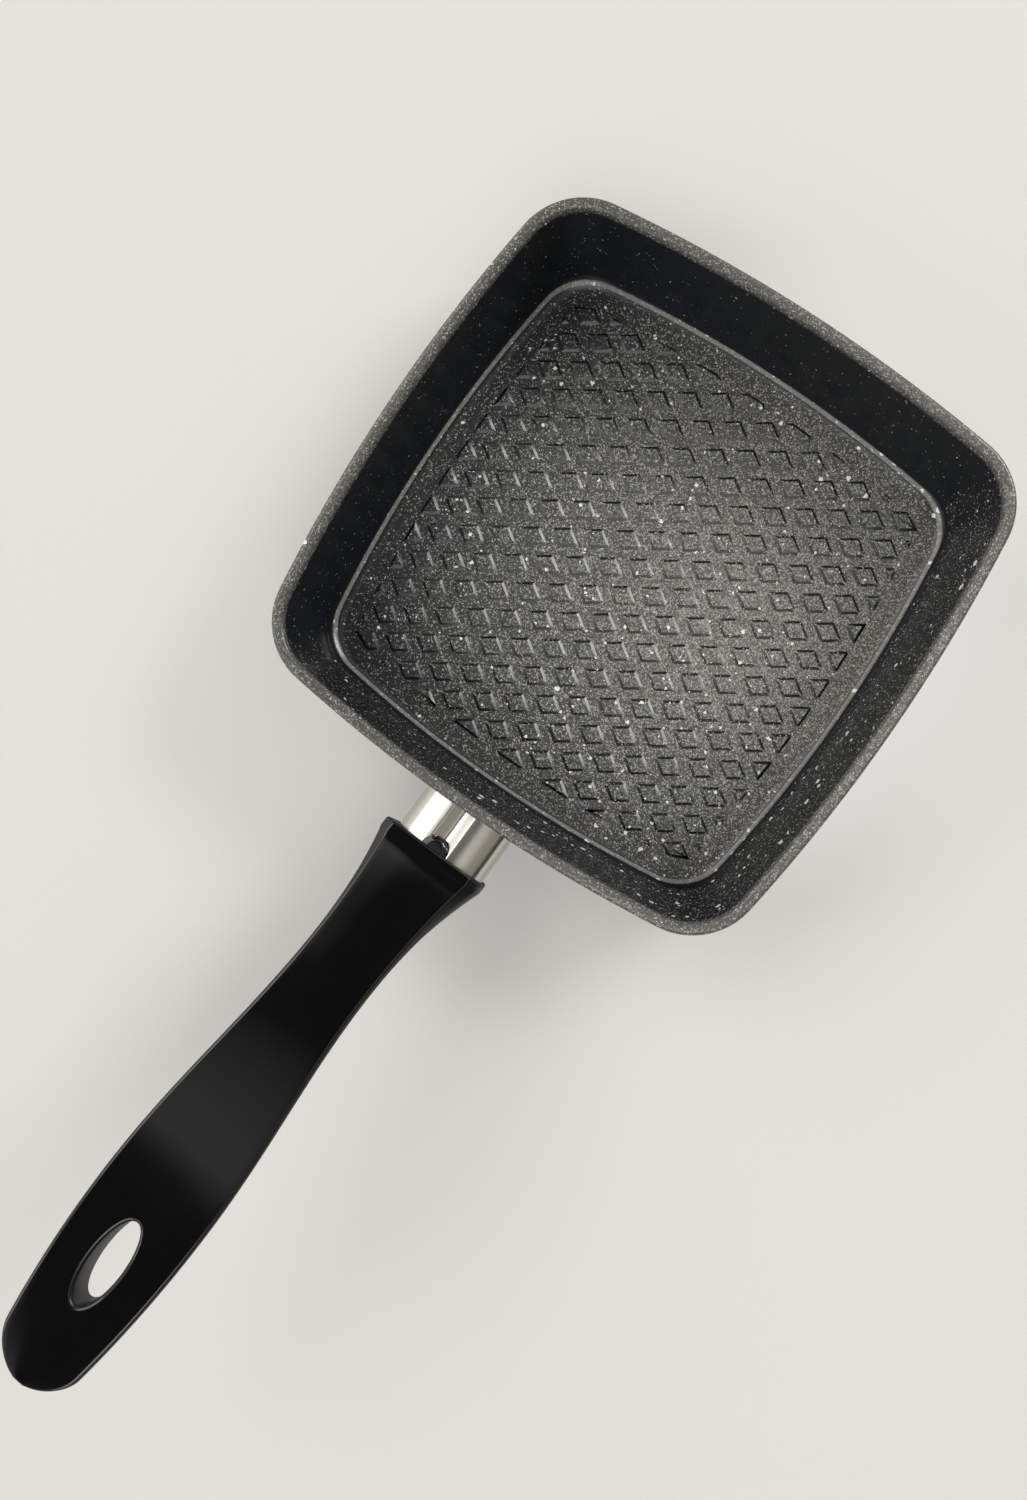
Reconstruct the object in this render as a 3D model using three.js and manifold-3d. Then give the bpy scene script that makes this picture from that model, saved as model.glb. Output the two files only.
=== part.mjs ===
// A small square butter pan: a cast and coated pan with bowed sides and a floor of raised
// lozenges, and a moulded handle that one screw holds on a welded boss, with a metal flame guard
// between them.
//
// Millimetres and degrees. +Z is up and the handle runs along -Y. The origin is the middle of the
// base, on the surface that the pan stands on.

import * as THREE from 'three';
import { mergeGeometries, mergeVertices } from 'three/addons/utils/BufferGeometryUtils.js';
import Module from 'manifold-3d';

const wasm = await Module();
wasm.setup();

// Pan: heights and wall
const PAN_HEIGHT = 32;
const FLOOR_THICKNESS = 3.3;
const WALL_THICKNESS = 3.4;
const RIM_ROUND = 1.3;
const INNER_FILLET = 5;
const OUTER_FILLET = 7;

// Pan: the inside outline at the foot of the wall and at the rim, across the middle of the sides
const FOOT_WIDTH = 142.4;
const FOOT_BOW_RADIUS = 402;
const FOOT_CORNER_RADIUS = 15.8;
const RIM_WIDTH = 153.2;
const RIM_BOW_RADIUS = 455;
const RIM_CORNER_RADIUS = 17;

// Pan: the lozenges on the floor
const LOZENGE_PITCH_X = 15.6;
const LOZENGE_PITCH_Y = 9.55;
const LOZENGE_LENGTH = 9.4;
const LOZENGE_WIDTH = 6.3;
const LOZENGE_BLUNT = 0.9;
const LOZENGE_SLOPE = 0.5;
const LOZENGE_HEIGHT = 0.3;
const LOZENGE_MARGIN = 7.8;
const LOZENGE_OVERHANG = 0.25;

// Clearance between pieces that seat on each other
const SEAT_GAP = 0.3;

// Handle joint: where the screw axis meets the wall, how it rises, and how far the handle stands
// off square: moved and turned to one side, and twisted on its one screw
const JOINT_HEIGHT = 18;
const JOINT_SHIFT = -0.5;
const JOINT_TILT = 5;
const HANDLE_TURN = 1.5;
const HANDLE_TWIST = 6;

// Welded boss
const BOSS_DIAMETER = 11;
const BOSS_LENGTH = 15.5;
const THREAD_DEPTH = 12;

// Flame guard: an oval sleeve with a groove along its top, a little to one side of the screw axis
const GUARD_WIDTH = 28;
const GUARD_OFFSET = 0.8;
const GUARD_HEIGHT = 18;
const GUARD_SQUARENESS = 2.6;
const GUARD_SHEET = 1;
const GUARD_REACH = 17;
const GROOVE_WIDTH = 7;
const GROOVE_DEPTH = 1.8;
const GROOVE_BOTTOM = 0.6;

// Screw and washers
const SCREW_DIAMETER = 5;
const SCREW_HEAD_DIAMETER = 9.2;
const SCREW_HEAD_HEIGHT = 3.4;
const SCREW_HEAD_RIM = 1.1;
const DRIVE_WIDTH = 1.2;
const DRIVE_SPAN = 5;
const DRIVE_DEPTH = 1.8;
const FLAT_WASHER_DIAMETER = 10;
const FLAT_WASHER_THICKNESS = 1;
const SPRING_WASHER_DIAMETER = 8.8;
const SPRING_WASHER_THICKNESS = 1.3;
const SPRING_WASHER_SPLIT = 1;

// Handle: the line through the middle of its thickness, from the collar at its front, seen from the
// side
const HANDLE_REACH = 153;
const HANDLE_LIFT = 35;
const FRONT_RISE = 26;
const TAIL_RISE = 6;
const SQUARE_RUN = 30;

// Handle: sections at the front, the neck, the grip and the tail. Reach is how far along that line
// the section is, inset how much narrower the flat top is on each side, shoulder how far below
// the top the section is widest, and keel how much narrower the bottom is on each side.
const FRONT = { reach: 0, width: 32.6, thickness: 22, inset: 3.2, shoulder: 3.6, keel: 1.2 };
const NECK = { reach: 40, width: 22.3, thickness: 14.5, inset: 1.3, shoulder: 1.6, keel: 2.6 };
const GRIP = { reach: 107, width: 30.5, thickness: 11.5, inset: 1.2, shoulder: 1.5, keel: 3.6 };
const TAIL = { reach: 148, width: 24, thickness: 10, inset: 1.2, shoulder: 1.4, keel: 3.2 };
const TOP_EDGE_ROUND = 1;
const SHOULDER_ROUND = 3;
const KEEL_ROUND = 4;
const TOP_CROWN = 0.5;

// Handle: the rounded end, how much of its quarter turn it leaves flat, and the share of the
// thickness that it loses
const TAIL_ROUND = 8.5;
const TAIL_END_FLAT = 23;
const TAIL_END_THINNING = 0.45;

// Handle: what is cut out of it and what stands on it
const SOCKET_DEPTH = 3;
const WEB_THICKNESS = 7;
const HEAD_CLEARANCE = 0.6;
const SHANK_CLEARANCE = 0.3;
const DRIVER_RUN = 45;
const KEY_WIDTH = 7.6;
const KEY_REACH = 4;
const KEY_ROOT = 5;
const KEY_DROP = 1.4;
const HANG_HOLE_REACH = 126;
const HANG_HOLE_LENGTH = 22.5;
const HANG_HOLE_WIDTH = 8.8;
const HANG_HOLE_CHAMFER = 0.9;

// Facets of the round stretches
const SIDE_STEPS = 6;
const CORNER_STEPS = 8;
const FILLET_STEPS = 4;
const ROUND_STEPS = 32;
const GUARD_STEPS = 72;
const LOFT_STEP = 6;
const SECTION_ARC_STEPS = 3;

// The most of a side that the round at one of its ends takes up, and how close vertices are that
// count as one
const ROUND_SHARE = 0.45;
const WELD_DISTANCE = 1e-5;

const radians = THREE.MathUtils.degToRad;
const lerp = THREE.MathUtils.lerp;

// Steps from first to last, both included.
function range(first, last, steps) {
  return Array.from({ length: steps + 1 }, (_, i) => lerp(first, last, i / steps));
}

// Keeps only the position of a geometry, with its shared vertices merged.
function welded(geometry) {
  const bare = geometry.clone();
  bare.deleteAttribute('normal');
  bare.deleteAttribute('uv');
  return mergeVertices(bare, WELD_DISTANCE);
}

function toSolid(geometry) {
  const bare = welded(geometry);
  return new wasm.Manifold(new wasm.Mesh({
    numProp: 3,
    vertProperties: new Float32Array(bare.attributes.position.array),
    triVerts: new Uint32Array(bare.index.array),
  }));
}

function toGeometry(solid) {
  const mesh = solid.getMesh();
  const geometry = new THREE.BufferGeometry();
  geometry.setAttribute('position', new THREE.BufferAttribute(mesh.vertProperties, 3));
  geometry.setIndex(new THREE.BufferAttribute(mesh.triVerts, 1));
  geometry.computeVertexNormals();
  return geometry;
}

// Skins a list of rings, which have as many points each, and closes the first and last ring.
function skin(rings) {
  const count = rings[0].length;
  const points = rings.flat();
  const index = [];
  for (let r = 0; r + 1 < rings.length; r++) {
    for (let i = 0; i < count; i++) {
      const a = r * count + i;
      const b = r * count + (i + 1) % count;
      index.push(a, b, b + count, a, b + count, a + count);
    }
  }
  const last = (rings.length - 1) * count;
  for (let i = 1; i + 1 < count; i++) {
    index.push(0, i + 1, i);
    index.push(last, last + i, last + i + 1);
  }
  const geometry = new THREE.BufferGeometry().setFromPoints(points);
  geometry.setIndex(index);
  return geometry;
}

// Turns a shape drawn in x and height, extruded along +Z, into a piece that runs along -Y.
function alongHandle(geometry, start) {
  return geometry.rotateX(Math.PI / 2).translate(0, -start, 0);
}

function extrude(shape, depth, curveSegments = ROUND_STEPS) {
  return new THREE.ExtrudeGeometry(shape, { depth, bevelEnabled: false, curveSegments });
}

// A round rod along the screw axis between two distances from the wall.
function rod(diameter, start, end) {
  const geometry = new THREE.CylinderGeometry(diameter / 2, diameter / 2, end - start, ROUND_STEPS);
  return geometry.translate(0, -(start + end) / 2, 0);
}

// A square whose sides are arcs of radius bow and whose corners are arcs of radius corner. half is
// the distance from the middle of a side to the centre.
function bowedSquare(half, bow, corner) {
  const shift = bow - half;
  const reach = bow - corner;
  const q = (-shift + Math.sqrt(2 * reach * reach - shift * shift)) / 2;
  const turn = Math.atan2(q, q + shift);
  const sideAngles = range(-turn, turn, SIDE_STEPS).slice(0, -1);
  const side = sideAngles.map((angle) => new THREE.Vector2(
    bow * Math.cos(angle) - shift,
    bow * Math.sin(angle),
  ));
  const bendAngles = range(turn, Math.PI / 2 - turn, CORNER_STEPS).slice(0, -1);
  const bend = bendAngles.map((angle) => new THREE.Vector2(
    q + corner * Math.cos(angle),
    q + corner * Math.sin(angle),
  ));
  const quarter = [...side, ...bend];
  const centre = new THREE.Vector2();
  const turns = [0, 1, 2, 3].map((k) => k * Math.PI / 2);
  return turns.flatMap((angle) => quarter.map((p) => p.clone().rotateAround(centre, angle)));
}

// The pan's plan outline. flare is how far the wall has opened from its foot, and offset is how
// far outside the inner surface the outline lies.
const RIM_FLARE = (RIM_WIDTH - FOOT_WIDTH) / 2;
function panOutline(flare, offset) {
  const share = flare / RIM_FLARE;
  return bowedSquare(
    FOOT_WIDTH / 2 + flare + offset,
    lerp(FOOT_BOW_RADIUS, RIM_BOW_RADIUS, share) + offset,
    lerp(FOOT_CORNER_RADIUS, RIM_CORNER_RADIUS, share) + offset,
  );
}

function panRing({ flare, offset, z }) {
  return panOutline(flare, offset).map((p) => new THREE.Vector3(p.x, p.y, z));
}

const RIM_LEVEL = PAN_HEIGHT - RIM_ROUND;
const WALL_DRAFT = Math.atan2(RIM_FLARE, RIM_LEVEL - FLOOR_THICKNESS);
function flareAt(z) {
  return (z - FLOOR_THICKNESS) * Math.tan(WALL_DRAFT);
}

// The pan's section from the base up the outside, over the rim and down to the floor.
function panSection() {
  const innerCentre = -INNER_FILLET * Math.tan((Math.PI / 2 - WALL_DRAFT) / 2);
  const innerFillet = range(-WALL_DRAFT, -Math.PI / 2, FILLET_STEPS).map((angle) => ({
    flare: innerCentre + INNER_FILLET * Math.cos(angle),
    offset: 0,
    z: FLOOR_THICKNESS + INNER_FILLET * (1 + Math.sin(angle)),
  }));
  const rimArc = (centre, first, last) => range(first, last, FILLET_STEPS).map((angle) => ({
    flare: RIM_FLARE,
    offset: centre + RIM_ROUND * Math.cos(angle),
    z: RIM_LEVEL + RIM_ROUND * Math.sin(angle),
  }));
  const outerCentre = flareAt(OUTER_FILLET) + WALL_THICKNESS - OUTER_FILLET / Math.cos(WALL_DRAFT);
  const outerFillet = range(-Math.PI / 2, -WALL_DRAFT, FILLET_STEPS).map((angle) => {
    const z = OUTER_FILLET * (1 + Math.sin(angle));
    const flare = flareAt(z);
    return { flare, offset: outerCentre + OUTER_FILLET * Math.cos(angle) - flare, z };
  });
  return [
    ...outerFillet,
    ...rimArc(WALL_THICKNESS - RIM_ROUND, 0, Math.PI / 2),
    ...rimArc(RIM_ROUND, Math.PI / 2, Math.PI),
    ...innerFillet,
  ];
}

// One lozenge, drawn in plan with blunt ends and drawn in by its slope from its foot to its top.
function lozenge(x, y) {
  const a = LOZENGE_LENGTH / 2;
  const b = LOZENGE_WIDTH / 2;
  const blunt = LOZENGE_BLUNT;
  const notch = b * blunt / a;
  const shape = new THREE.Shape([
    new THREE.Vector2(a - blunt, -notch),
    new THREE.Vector2(a - blunt, notch),
    new THREE.Vector2(0, b),
    new THREE.Vector2(blunt - a, notch),
    new THREE.Vector2(blunt - a, -notch),
    new THREE.Vector2(0, -b),
  ]);
  const sunk = FLOOR_THICKNESS / 2;
  const geometry = extrude(shape, sunk + LOZENGE_HEIGHT);
  const position = geometry.attributes.position;
  const sideDistance = a * b / Math.hypot(a, b);
  const topShare = 1 - LOZENGE_SLOPE / sideDistance;
  for (let i = 0; i < position.count; i++) {
    if (position.getZ(i) > sunk) {
      position.setXY(i, position.getX(i) * topShare, position.getY(i) * topShare);
    }
  }
  return geometry.translate(x, y, FLOOR_THICKNESS - sunk);
}

// Lozenges in rows half a pitch apart, every other row set over by half a pitch. They are cut
// along a line that runs inside the foot of the wall. One whose middle lies further outside that
// line than the given share of its size is left out.
function lozengeField() {
  const reach = FOOT_WIDTH / 2 - LOZENGE_MARGIN;
  const rows = Math.ceil(2 * reach / LOZENGE_PITCH_Y);
  const columns = Math.ceil(reach / LOZENGE_PITCH_X) + 1;
  const field = [];
  for (let row = -rows; row <= rows; row++) {
    const shift = row % 2 === 0 ? 0.5 : 0;
    for (let column = -columns; column <= columns; column++) {
      const x = (column + shift) * LOZENGE_PITCH_X;
      const y = row * LOZENGE_PITCH_Y / 2;
      const nearX = Math.abs(x) - reach < LOZENGE_LENGTH * LOZENGE_OVERHANG;
      const nearY = Math.abs(y) - reach < LOZENGE_WIDTH * LOZENGE_OVERHANG;
      if (nearX && nearY) field.push(lozenge(x, y));
    }
  }
  const border = extrude(new THREE.Shape(panOutline(0, -LOZENGE_MARGIN)), PAN_HEIGHT);
  return toSolid(mergeGeometries(field)).intersect(toSolid(border));
}

function panBody() {
  const bowl = toSolid(skin(panSection().map(panRing)));
  return toGeometry(bowl.add(lozengeField()));
}

// The frame of the handle joint: its origin is where the screw axis meets the outside of the
// wall, and -Y runs out along the axis.
const JOINT_REACH = FOOT_WIDTH / 2 + flareAt(JOINT_HEIGHT) + WALL_THICKNESS;
const handleJoint = new THREE.Group();
handleJoint.position.set(JOINT_SHIFT, -JOINT_REACH, JOINT_HEIGHT);
handleJoint.rotation.set(
  -radians(JOINT_TILT),
  -radians(HANDLE_TWIST),
  -radians(HANDLE_TURN),
  'ZXY',
);
handleJoint.updateMatrix();

// The pan's outside, grown by the clearance and brought into the joint's frame, which trims what
// seats on the wall.
function wallTrimmer() {
  const rings = [0, PAN_HEIGHT].map((z) => panRing({
    flare: flareAt(z),
    offset: WALL_THICKNESS + SEAT_GAP / Math.cos(WALL_DRAFT),
    z,
  }));
  const solid = skin(rings);
  return toSolid(solid.applyMatrix4(handleJoint.matrix.clone().invert()));
}

// Places along the screw axis, from the wall
const FRONT_FACE = GUARD_REACH;
const SOCKET_FLOOR = FRONT_FACE + SOCKET_DEPTH;
const SCREW_SEAT = SOCKET_FLOOR + WEB_THICKNESS;
const FLAT_WASHER_AT = SCREW_SEAT + SEAT_GAP;
const SPRING_WASHER_AT = FLAT_WASHER_AT + FLAT_WASHER_THICKNESS + SEAT_GAP;
const SCREW_HEAD_AT = SPRING_WASHER_AT + SPRING_WASHER_THICKNESS + SEAT_GAP;
const SCREW_TIP_AT = BOSS_LENGTH - THREAD_DEPTH + SEAT_GAP;
const TRIM_ALLOWANCE = 10;

function handleBoss() {
  const body = toSolid(rod(BOSS_DIAMETER, -TRIM_ALLOWANCE, BOSS_LENGTH)).subtract(wallTrimmer());
  const thread = rod(SCREW_DIAMETER + 2 * SHANK_CLEARANCE, BOSS_LENGTH - THREAD_DEPTH, SCREW_SEAT);
  return toGeometry(body.subtract(toSolid(thread)));
}

// How far the guard's top dips at x from its middle: a groove with straight sides and a round bottom,
// which is part of a hyperbola. The groove narrows by the offset on both sides.
function grooveDip(x, offset) {
  const half = GROOVE_WIDTH / 2 - offset;
  const side = (across) => Math.hypot(across, GROOVE_BOTTOM);
  const share = (side(half) - side(x)) / (side(half) - GROOVE_BOTTOM);
  return GROOVE_DEPTH * Math.max(0, share);
}

// The flame guard's section, grown by an offset: a squarish oval with the groove in its top.
function guardOutline(offset) {
  const width = GUARD_WIDTH / 2 + offset;
  const height = GUARD_HEIGHT / 2 + offset;
  const power = 2 / GUARD_SQUARENESS;
  return range(0, 2 * Math.PI, GUARD_STEPS).slice(0, -1).map((angle) => {
    const x = width * Math.sign(Math.cos(angle)) * Math.abs(Math.cos(angle)) ** power;
    const z = height * Math.sign(Math.sin(angle)) * Math.abs(Math.sin(angle)) ** power;
    const dip = z > 0 ? grooveDip(x, offset) : 0;
    return new THREE.Vector2(x + GUARD_OFFSET, z - dip);
  });
}

function flameGuard() {
  const shape = new THREE.Shape(guardOutline(0));
  shape.holes.push(new THREE.Path(guardOutline(-GUARD_SHEET)));
  const length = TRIM_ALLOWANCE + SOCKET_FLOOR - SEAT_GAP;
  const sleeve = alongHandle(extrude(shape, length), -TRIM_ALLOWANCE);
  return toGeometry(toSolid(sleeve).subtract(wallTrimmer()));
}

// A washer between two distances from the wall, with a slot cut through one side if it is split.
function washer(diameter, thickness, start, split) {
  const hole = rod(SCREW_DIAMETER + 2 * SHANK_CLEARANCE, start - thickness, start + 2 * thickness);
  let solid = toSolid(rod(diameter, start, start + thickness)).subtract(toSolid(hole));
  if (split > 0) {
    const slot = new THREE.BoxGeometry(split, 3 * thickness, diameter);
    solid = solid.subtract(toSolid(slot.translate(0, -start - thickness / 2, -diameter / 2)));
  }
  return toGeometry(solid);
}

// A screw with a domed head and a cross recess.
function handleScrew() {
  const shank = rod(SCREW_DIAMETER, SCREW_TIP_AT, SCREW_HEAD_AT + SCREW_HEAD_HEIGHT / 2);
  const half = SCREW_HEAD_DIAMETER / 2;
  const dome = range(0, Math.PI / 2, FILLET_STEPS).slice(0, -1).map((angle) => new THREE.Vector2(
    half * Math.sqrt(Math.cos(angle)),
    lerp(SCREW_HEAD_RIM, SCREW_HEAD_HEIGHT, Math.sin(angle)),
  ));
  const profile = [
    new THREE.Vector2(0, 0),
    new THREE.Vector2(half, 0),
    ...dome,
    new THREE.Vector2(0, SCREW_HEAD_HEIGHT),
  ];
  const head = new THREE.LatheGeometry(profile, ROUND_STEPS).rotateX(Math.PI);
  head.translate(0, -SCREW_HEAD_AT, 0);
  const top = -(SCREW_HEAD_AT + SCREW_HEAD_HEIGHT);
  const blade = (width, height) => {
    const box = new THREE.BoxGeometry(width, 2 * DRIVE_DEPTH, height);
    return toSolid(box.translate(0, top, 0));
  };
  const solid = toSolid(head)
    .add(toSolid(shank))
    .subtract(blade(DRIVE_SPAN, DRIVE_WIDTH))
    .subtract(blade(DRIVE_WIDTH, DRIVE_SPAN));
  return toGeometry(solid);
}

// The handle's middle line, from the floor of the socket: x is out along the screw axis, y is up.
function handleLine() {
  const front = Math.tan(radians(FRONT_RISE));
  const tail = Math.tan(radians(TAIL_RISE));
  const bend = (HANDLE_LIFT - HANDLE_REACH * tail) / (front - tail);
  return new THREE.QuadraticBezierCurve(
    new THREE.Vector2(0, 0),
    new THREE.Vector2(bend, bend * front),
    new THREE.Vector2(HANDLE_REACH, HANDLE_LIFT),
  );
}

// A section's sizes at a distance along the handle: the front flare falls off to the neck, the
// neck eases into the grip, and the grip narrows to the tail.
function sectionSizes(at) {
  const mix = (from, to, share) => Object.fromEntries(
    Object.keys(from).map((key) => [key, lerp(from[key], to[key], share)]),
  );
  if (at < NECK.reach) return mix(NECK, FRONT, (1 - at / NECK.reach) ** 2);
  if (at < GRIP.reach) {
    const share = (at - NECK.reach) / (GRIP.reach - NECK.reach);
    return mix(NECK, GRIP, (1 - Math.cos(Math.PI * share)) / 2);
  }
  return mix(GRIP, TAIL, ((at - GRIP.reach) / (TAIL.reach - GRIP.reach)) ** 2);
}

// Rounds one corner of an outline with an arc of the given radius, limited by its two sides.
function roundCorner(before, corner, after, radius) {
  const a = before.clone().sub(corner);
  const b = after.clone().sub(corner);
  const half = Math.abs(a.angleTo(b)) / 2;
  const longest = ROUND_SHARE * Math.min(a.length(), b.length());
  const trim = Math.min(radius / Math.tan(half), longest);
  const start = corner.clone().add(a.setLength(trim));
  const end = corner.clone().add(b.setLength(trim));
  const curve = new THREE.QuadraticBezierCurve(start, corner, end);
  return curve.getPoints(SECTION_ARC_STEPS);
}

// A section's outline in x and height: a crowned flat top, sloping shoulders to the widest level,
// and sides that draw in to a narrower bottom.
function sectionOutline({ width, thickness, inset, shoulder, keel }, narrow, thin) {
  const wide = width / 2 * narrow;
  const top = thickness / 2 * thin;
  const right = [
    new THREE.Vector2(wide - keel * narrow, -top),
    new THREE.Vector2(wide, top - shoulder * thin),
    new THREE.Vector2(wide - inset * narrow, top),
  ];
  const left = right.map((p) => new THREE.Vector2(-p.x, p.y)).reverse();
  const crown = new THREE.Vector2(0, top + TOP_CROWN * narrow);
  const corners = [...right, crown, ...left];
  const rightRadii = [KEEL_ROUND, SHOULDER_ROUND, TOP_EDGE_ROUND];
  const radii = [...rightRadii, 0, ...rightRadii.toReversed()];
  return corners.flatMap((corner, i) => {
    if (radii[i] === 0) return [corner];
    const before = corners[(i + corners.length - 1) % corners.length];
    const after = corners[(i + 1) % corners.length];
    return roundCorner(before, corner, after, radii[i]);
  });
}

// Where the handle's middle line is at a distance along it, and how its section leans there. At
// the front the section is square to the screw axis, and further on to the line.
function handleStation(line, at) {
  const share = at / line.getLength();
  const point = line.getPointAt(share);
  const tangent = line.getTangentAt(share);
  const lean = Math.atan2(tangent.y, tangent.x) * Math.min(1, at / SQUARE_RUN);
  return { point, lean };
}

function handleRing(line, at, narrow, thin) {
  const { point, lean } = handleStation(line, at);
  return sectionOutline(sectionSizes(at), narrow, thin).map((p) => new THREE.Vector3(
    p.x,
    -SOCKET_FLOOR - point.x + p.y * Math.sin(lean),
    point.y + p.y * Math.cos(lean),
  ));
}

function handleBlank(line) {
  const length = line.getLength();
  const roundStart = length - TAIL_ROUND;
  const straight = range(0, roundStart, Math.ceil(roundStart / LOFT_STEP));
  const collar = handleRing(line, 0, 1, 1).map((p) => p.setY(-FRONT_FACE));
  const rings = [collar, ...straight.map((at) => handleRing(line, at, 1, 1))];
  const lastTurn = radians(90 - TAIL_END_FLAT);
  for (const turn of range(0, lastTurn, FILLET_STEPS + 1).slice(1)) {
    const narrow = Math.cos(turn);
    const thin = lerp(1 - TAIL_END_THINNING, 1, narrow);
    const at = roundStart + TAIL_ROUND * Math.sin(turn) / Math.sin(lastTurn);
    rings.push(handleRing(line, at, narrow, thin));
  }
  return toSolid(skin(rings));
}

// The hang hole: a long oval through the thickness, with a chamfer at both faces.
function hangHole(line) {
  const { point, lean } = handleStation(line, HANG_HOLE_REACH);
  const thickness = sectionSizes(HANG_HOLE_REACH).thickness + 2 * TOP_CROWN;
  const angles = range(0, 2 * Math.PI, ROUND_STEPS).slice(0, -1);
  const oval = (grow, z) => angles.map((angle) => new THREE.Vector3(
    (HANG_HOLE_WIDTH / 2 + grow) * Math.cos(angle),
    (HANG_HOLE_LENGTH / 2 + grow) * Math.sin(angle),
    z,
  ));
  const face = thickness / 2;
  const rings = [
    oval(2 * HANG_HOLE_CHAMFER, -face - HANG_HOLE_CHAMFER),
    oval(0, HANG_HOLE_CHAMFER - face),
    oval(0, face - HANG_HOLE_CHAMFER),
    oval(2 * HANG_HOLE_CHAMFER, face + HANG_HOLE_CHAMFER),
  ];
  const cutter = skin(rings);
  cutter.rotateX(-lean).translate(0, -SOCKET_FLOOR - point.x, point.y);
  return toSolid(cutter);
}

// The room that the guard takes up, with its clearance, from the wall to the floor of the socket.
function guardRoom() {
  const shape = new THREE.Shape(guardOutline(SEAT_GAP));
  return toSolid(alongHandle(extrude(shape, SOCKET_FLOOR), 0));
}

// The key: a round tongue on the top of the front face, which lies in the guard's groove. Cutting
// the socket also takes away what would reach into the guard.
function key() {
  const half = KEY_WIDTH / 2;
  const nose = KEY_REACH - half;
  const tongue = new THREE.Shape();
  tongue.moveTo(-half, -KEY_ROOT);
  tongue.lineTo(half, -KEY_ROOT);
  tongue.lineTo(half, nose);
  tongue.absarc(0, nose, half, 0, Math.PI);
  tongue.lineTo(-half, -KEY_ROOT);
  const top = FRONT.thickness / 2 - KEY_DROP;
  const block = extrude(tongue, top, FILLET_STEPS * 2).translate(0, -FRONT_FACE, 0);
  return toSolid(block);
}

function handle() {
  const line = handleLine();
  const headHole = FLAT_WASHER_DIAMETER + 2 * HEAD_CLEARANCE;
  const shankHole = SCREW_DIAMETER + 2 * SHANK_CLEARANCE;
  const solid = handleBlank(line)
    .add(key())
    .subtract(guardRoom())
    .subtract(toSolid(rod(shankHole, FRONT_FACE, SCREW_SEAT + SEAT_GAP)))
    .subtract(toSolid(rod(headHole, SCREW_SEAT, SCREW_SEAT + DRIVER_RUN)))
    .subtract(hangHole(line));
  return toGeometry(solid);
}

function material(color, roughness, metalness) {
  return new THREE.MeshStandardMaterial({ color, roughness, metalness });
}

const speckledCoating = material(0x3a3a3b, 0.45, 0);
const weldedAluminium = material(0xb4b5b7, 0.45, 1);
const polishedSheet = material(0xc9c6c0, 0.18, 1);
const blackPhenolic = material(0x17171a, 0.3, 0);
const zincPlate = material(0xb9bcc0, 0.35, 1);

function piece(name, geometry, finish) {
  const mesh = new THREE.Mesh(geometry, finish);
  mesh.name = name;
  return mesh;
}

handleJoint.add(
  piece('handle_boss', handleBoss(), weldedAluminium),
  piece('flame_guard', flameGuard(), polishedSheet),
  piece('handle', handle(), blackPhenolic),
  piece(
    'flat_washer',
    washer(FLAT_WASHER_DIAMETER, FLAT_WASHER_THICKNESS, FLAT_WASHER_AT, 0),
    zincPlate.clone(),
  ),
  piece(
    'spring_washer',
    washer(SPRING_WASHER_DIAMETER, SPRING_WASHER_THICKNESS, SPRING_WASHER_AT, SPRING_WASHER_SPLIT),
    zincPlate.clone(),
  ),
  piece('handle_screw', handleScrew(), zincPlate),
);

const pan = new THREE.Group();
pan.add(piece('pan_body', panBody(), speckledCoating), handleJoint);

export default pan;
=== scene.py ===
"""Looks of a small square butter pan: a speckled pan with a floor of raised lozenges, and a moulded
handle that one screw holds behind a polished flame guard. Lengths are in metres, +Z is up and the
handle runs along -Y, as in the frame."""

import math
from functools import partial

import bmesh
import bpy
import numpy as np
from bpy.props import FloatProperty, FloatVectorProperty, PointerProperty
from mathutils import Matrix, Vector
from mathutils.geometry import delaunay_2d_cdt


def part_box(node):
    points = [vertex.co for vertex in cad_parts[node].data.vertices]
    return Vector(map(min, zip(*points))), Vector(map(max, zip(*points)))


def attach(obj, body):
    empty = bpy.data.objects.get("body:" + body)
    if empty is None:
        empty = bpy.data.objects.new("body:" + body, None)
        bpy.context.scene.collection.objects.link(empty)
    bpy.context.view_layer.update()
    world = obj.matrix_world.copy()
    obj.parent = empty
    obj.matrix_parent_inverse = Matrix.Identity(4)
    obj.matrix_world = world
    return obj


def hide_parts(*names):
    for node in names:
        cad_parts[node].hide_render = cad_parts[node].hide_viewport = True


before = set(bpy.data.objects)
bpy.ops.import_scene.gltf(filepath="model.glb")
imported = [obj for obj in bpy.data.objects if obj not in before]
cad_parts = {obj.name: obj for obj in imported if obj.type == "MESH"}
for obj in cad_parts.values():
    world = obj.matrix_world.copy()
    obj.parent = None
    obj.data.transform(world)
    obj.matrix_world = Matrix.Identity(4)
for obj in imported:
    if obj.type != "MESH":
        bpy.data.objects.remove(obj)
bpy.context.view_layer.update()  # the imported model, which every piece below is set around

bl_info = {
    "name": "Butter Pan",
    "version": (1, 0, 0),
    "blender": (4, 5, 0),
    "location": "3D View > Sidebar > Butter Pan",
    "description": "Builds the surfaces and finishes of a small square butter pan",
    "category": "Object",
}

MM = 0.001  # a millimetre in metres
BODY = "root"  # the part's one body
PAN_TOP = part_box("pan_body")[1].z
WELD = 2e-6  # points nearer than this are joined
ROUND_SHARE = 0.45  # the most of a side that the round at its end takes


def linear(value):
    """An sRGB hex value as linear red, green and blue."""
    channels = np.array([int(value[i:i + 2], 16) for i in (1, 3, 5)]) / 255
    low = channels / 12.92
    high = ((channels + 0.055) / 1.055) ** 2.4
    return tuple(np.where(channels <= 0.04045, low, high))


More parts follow.
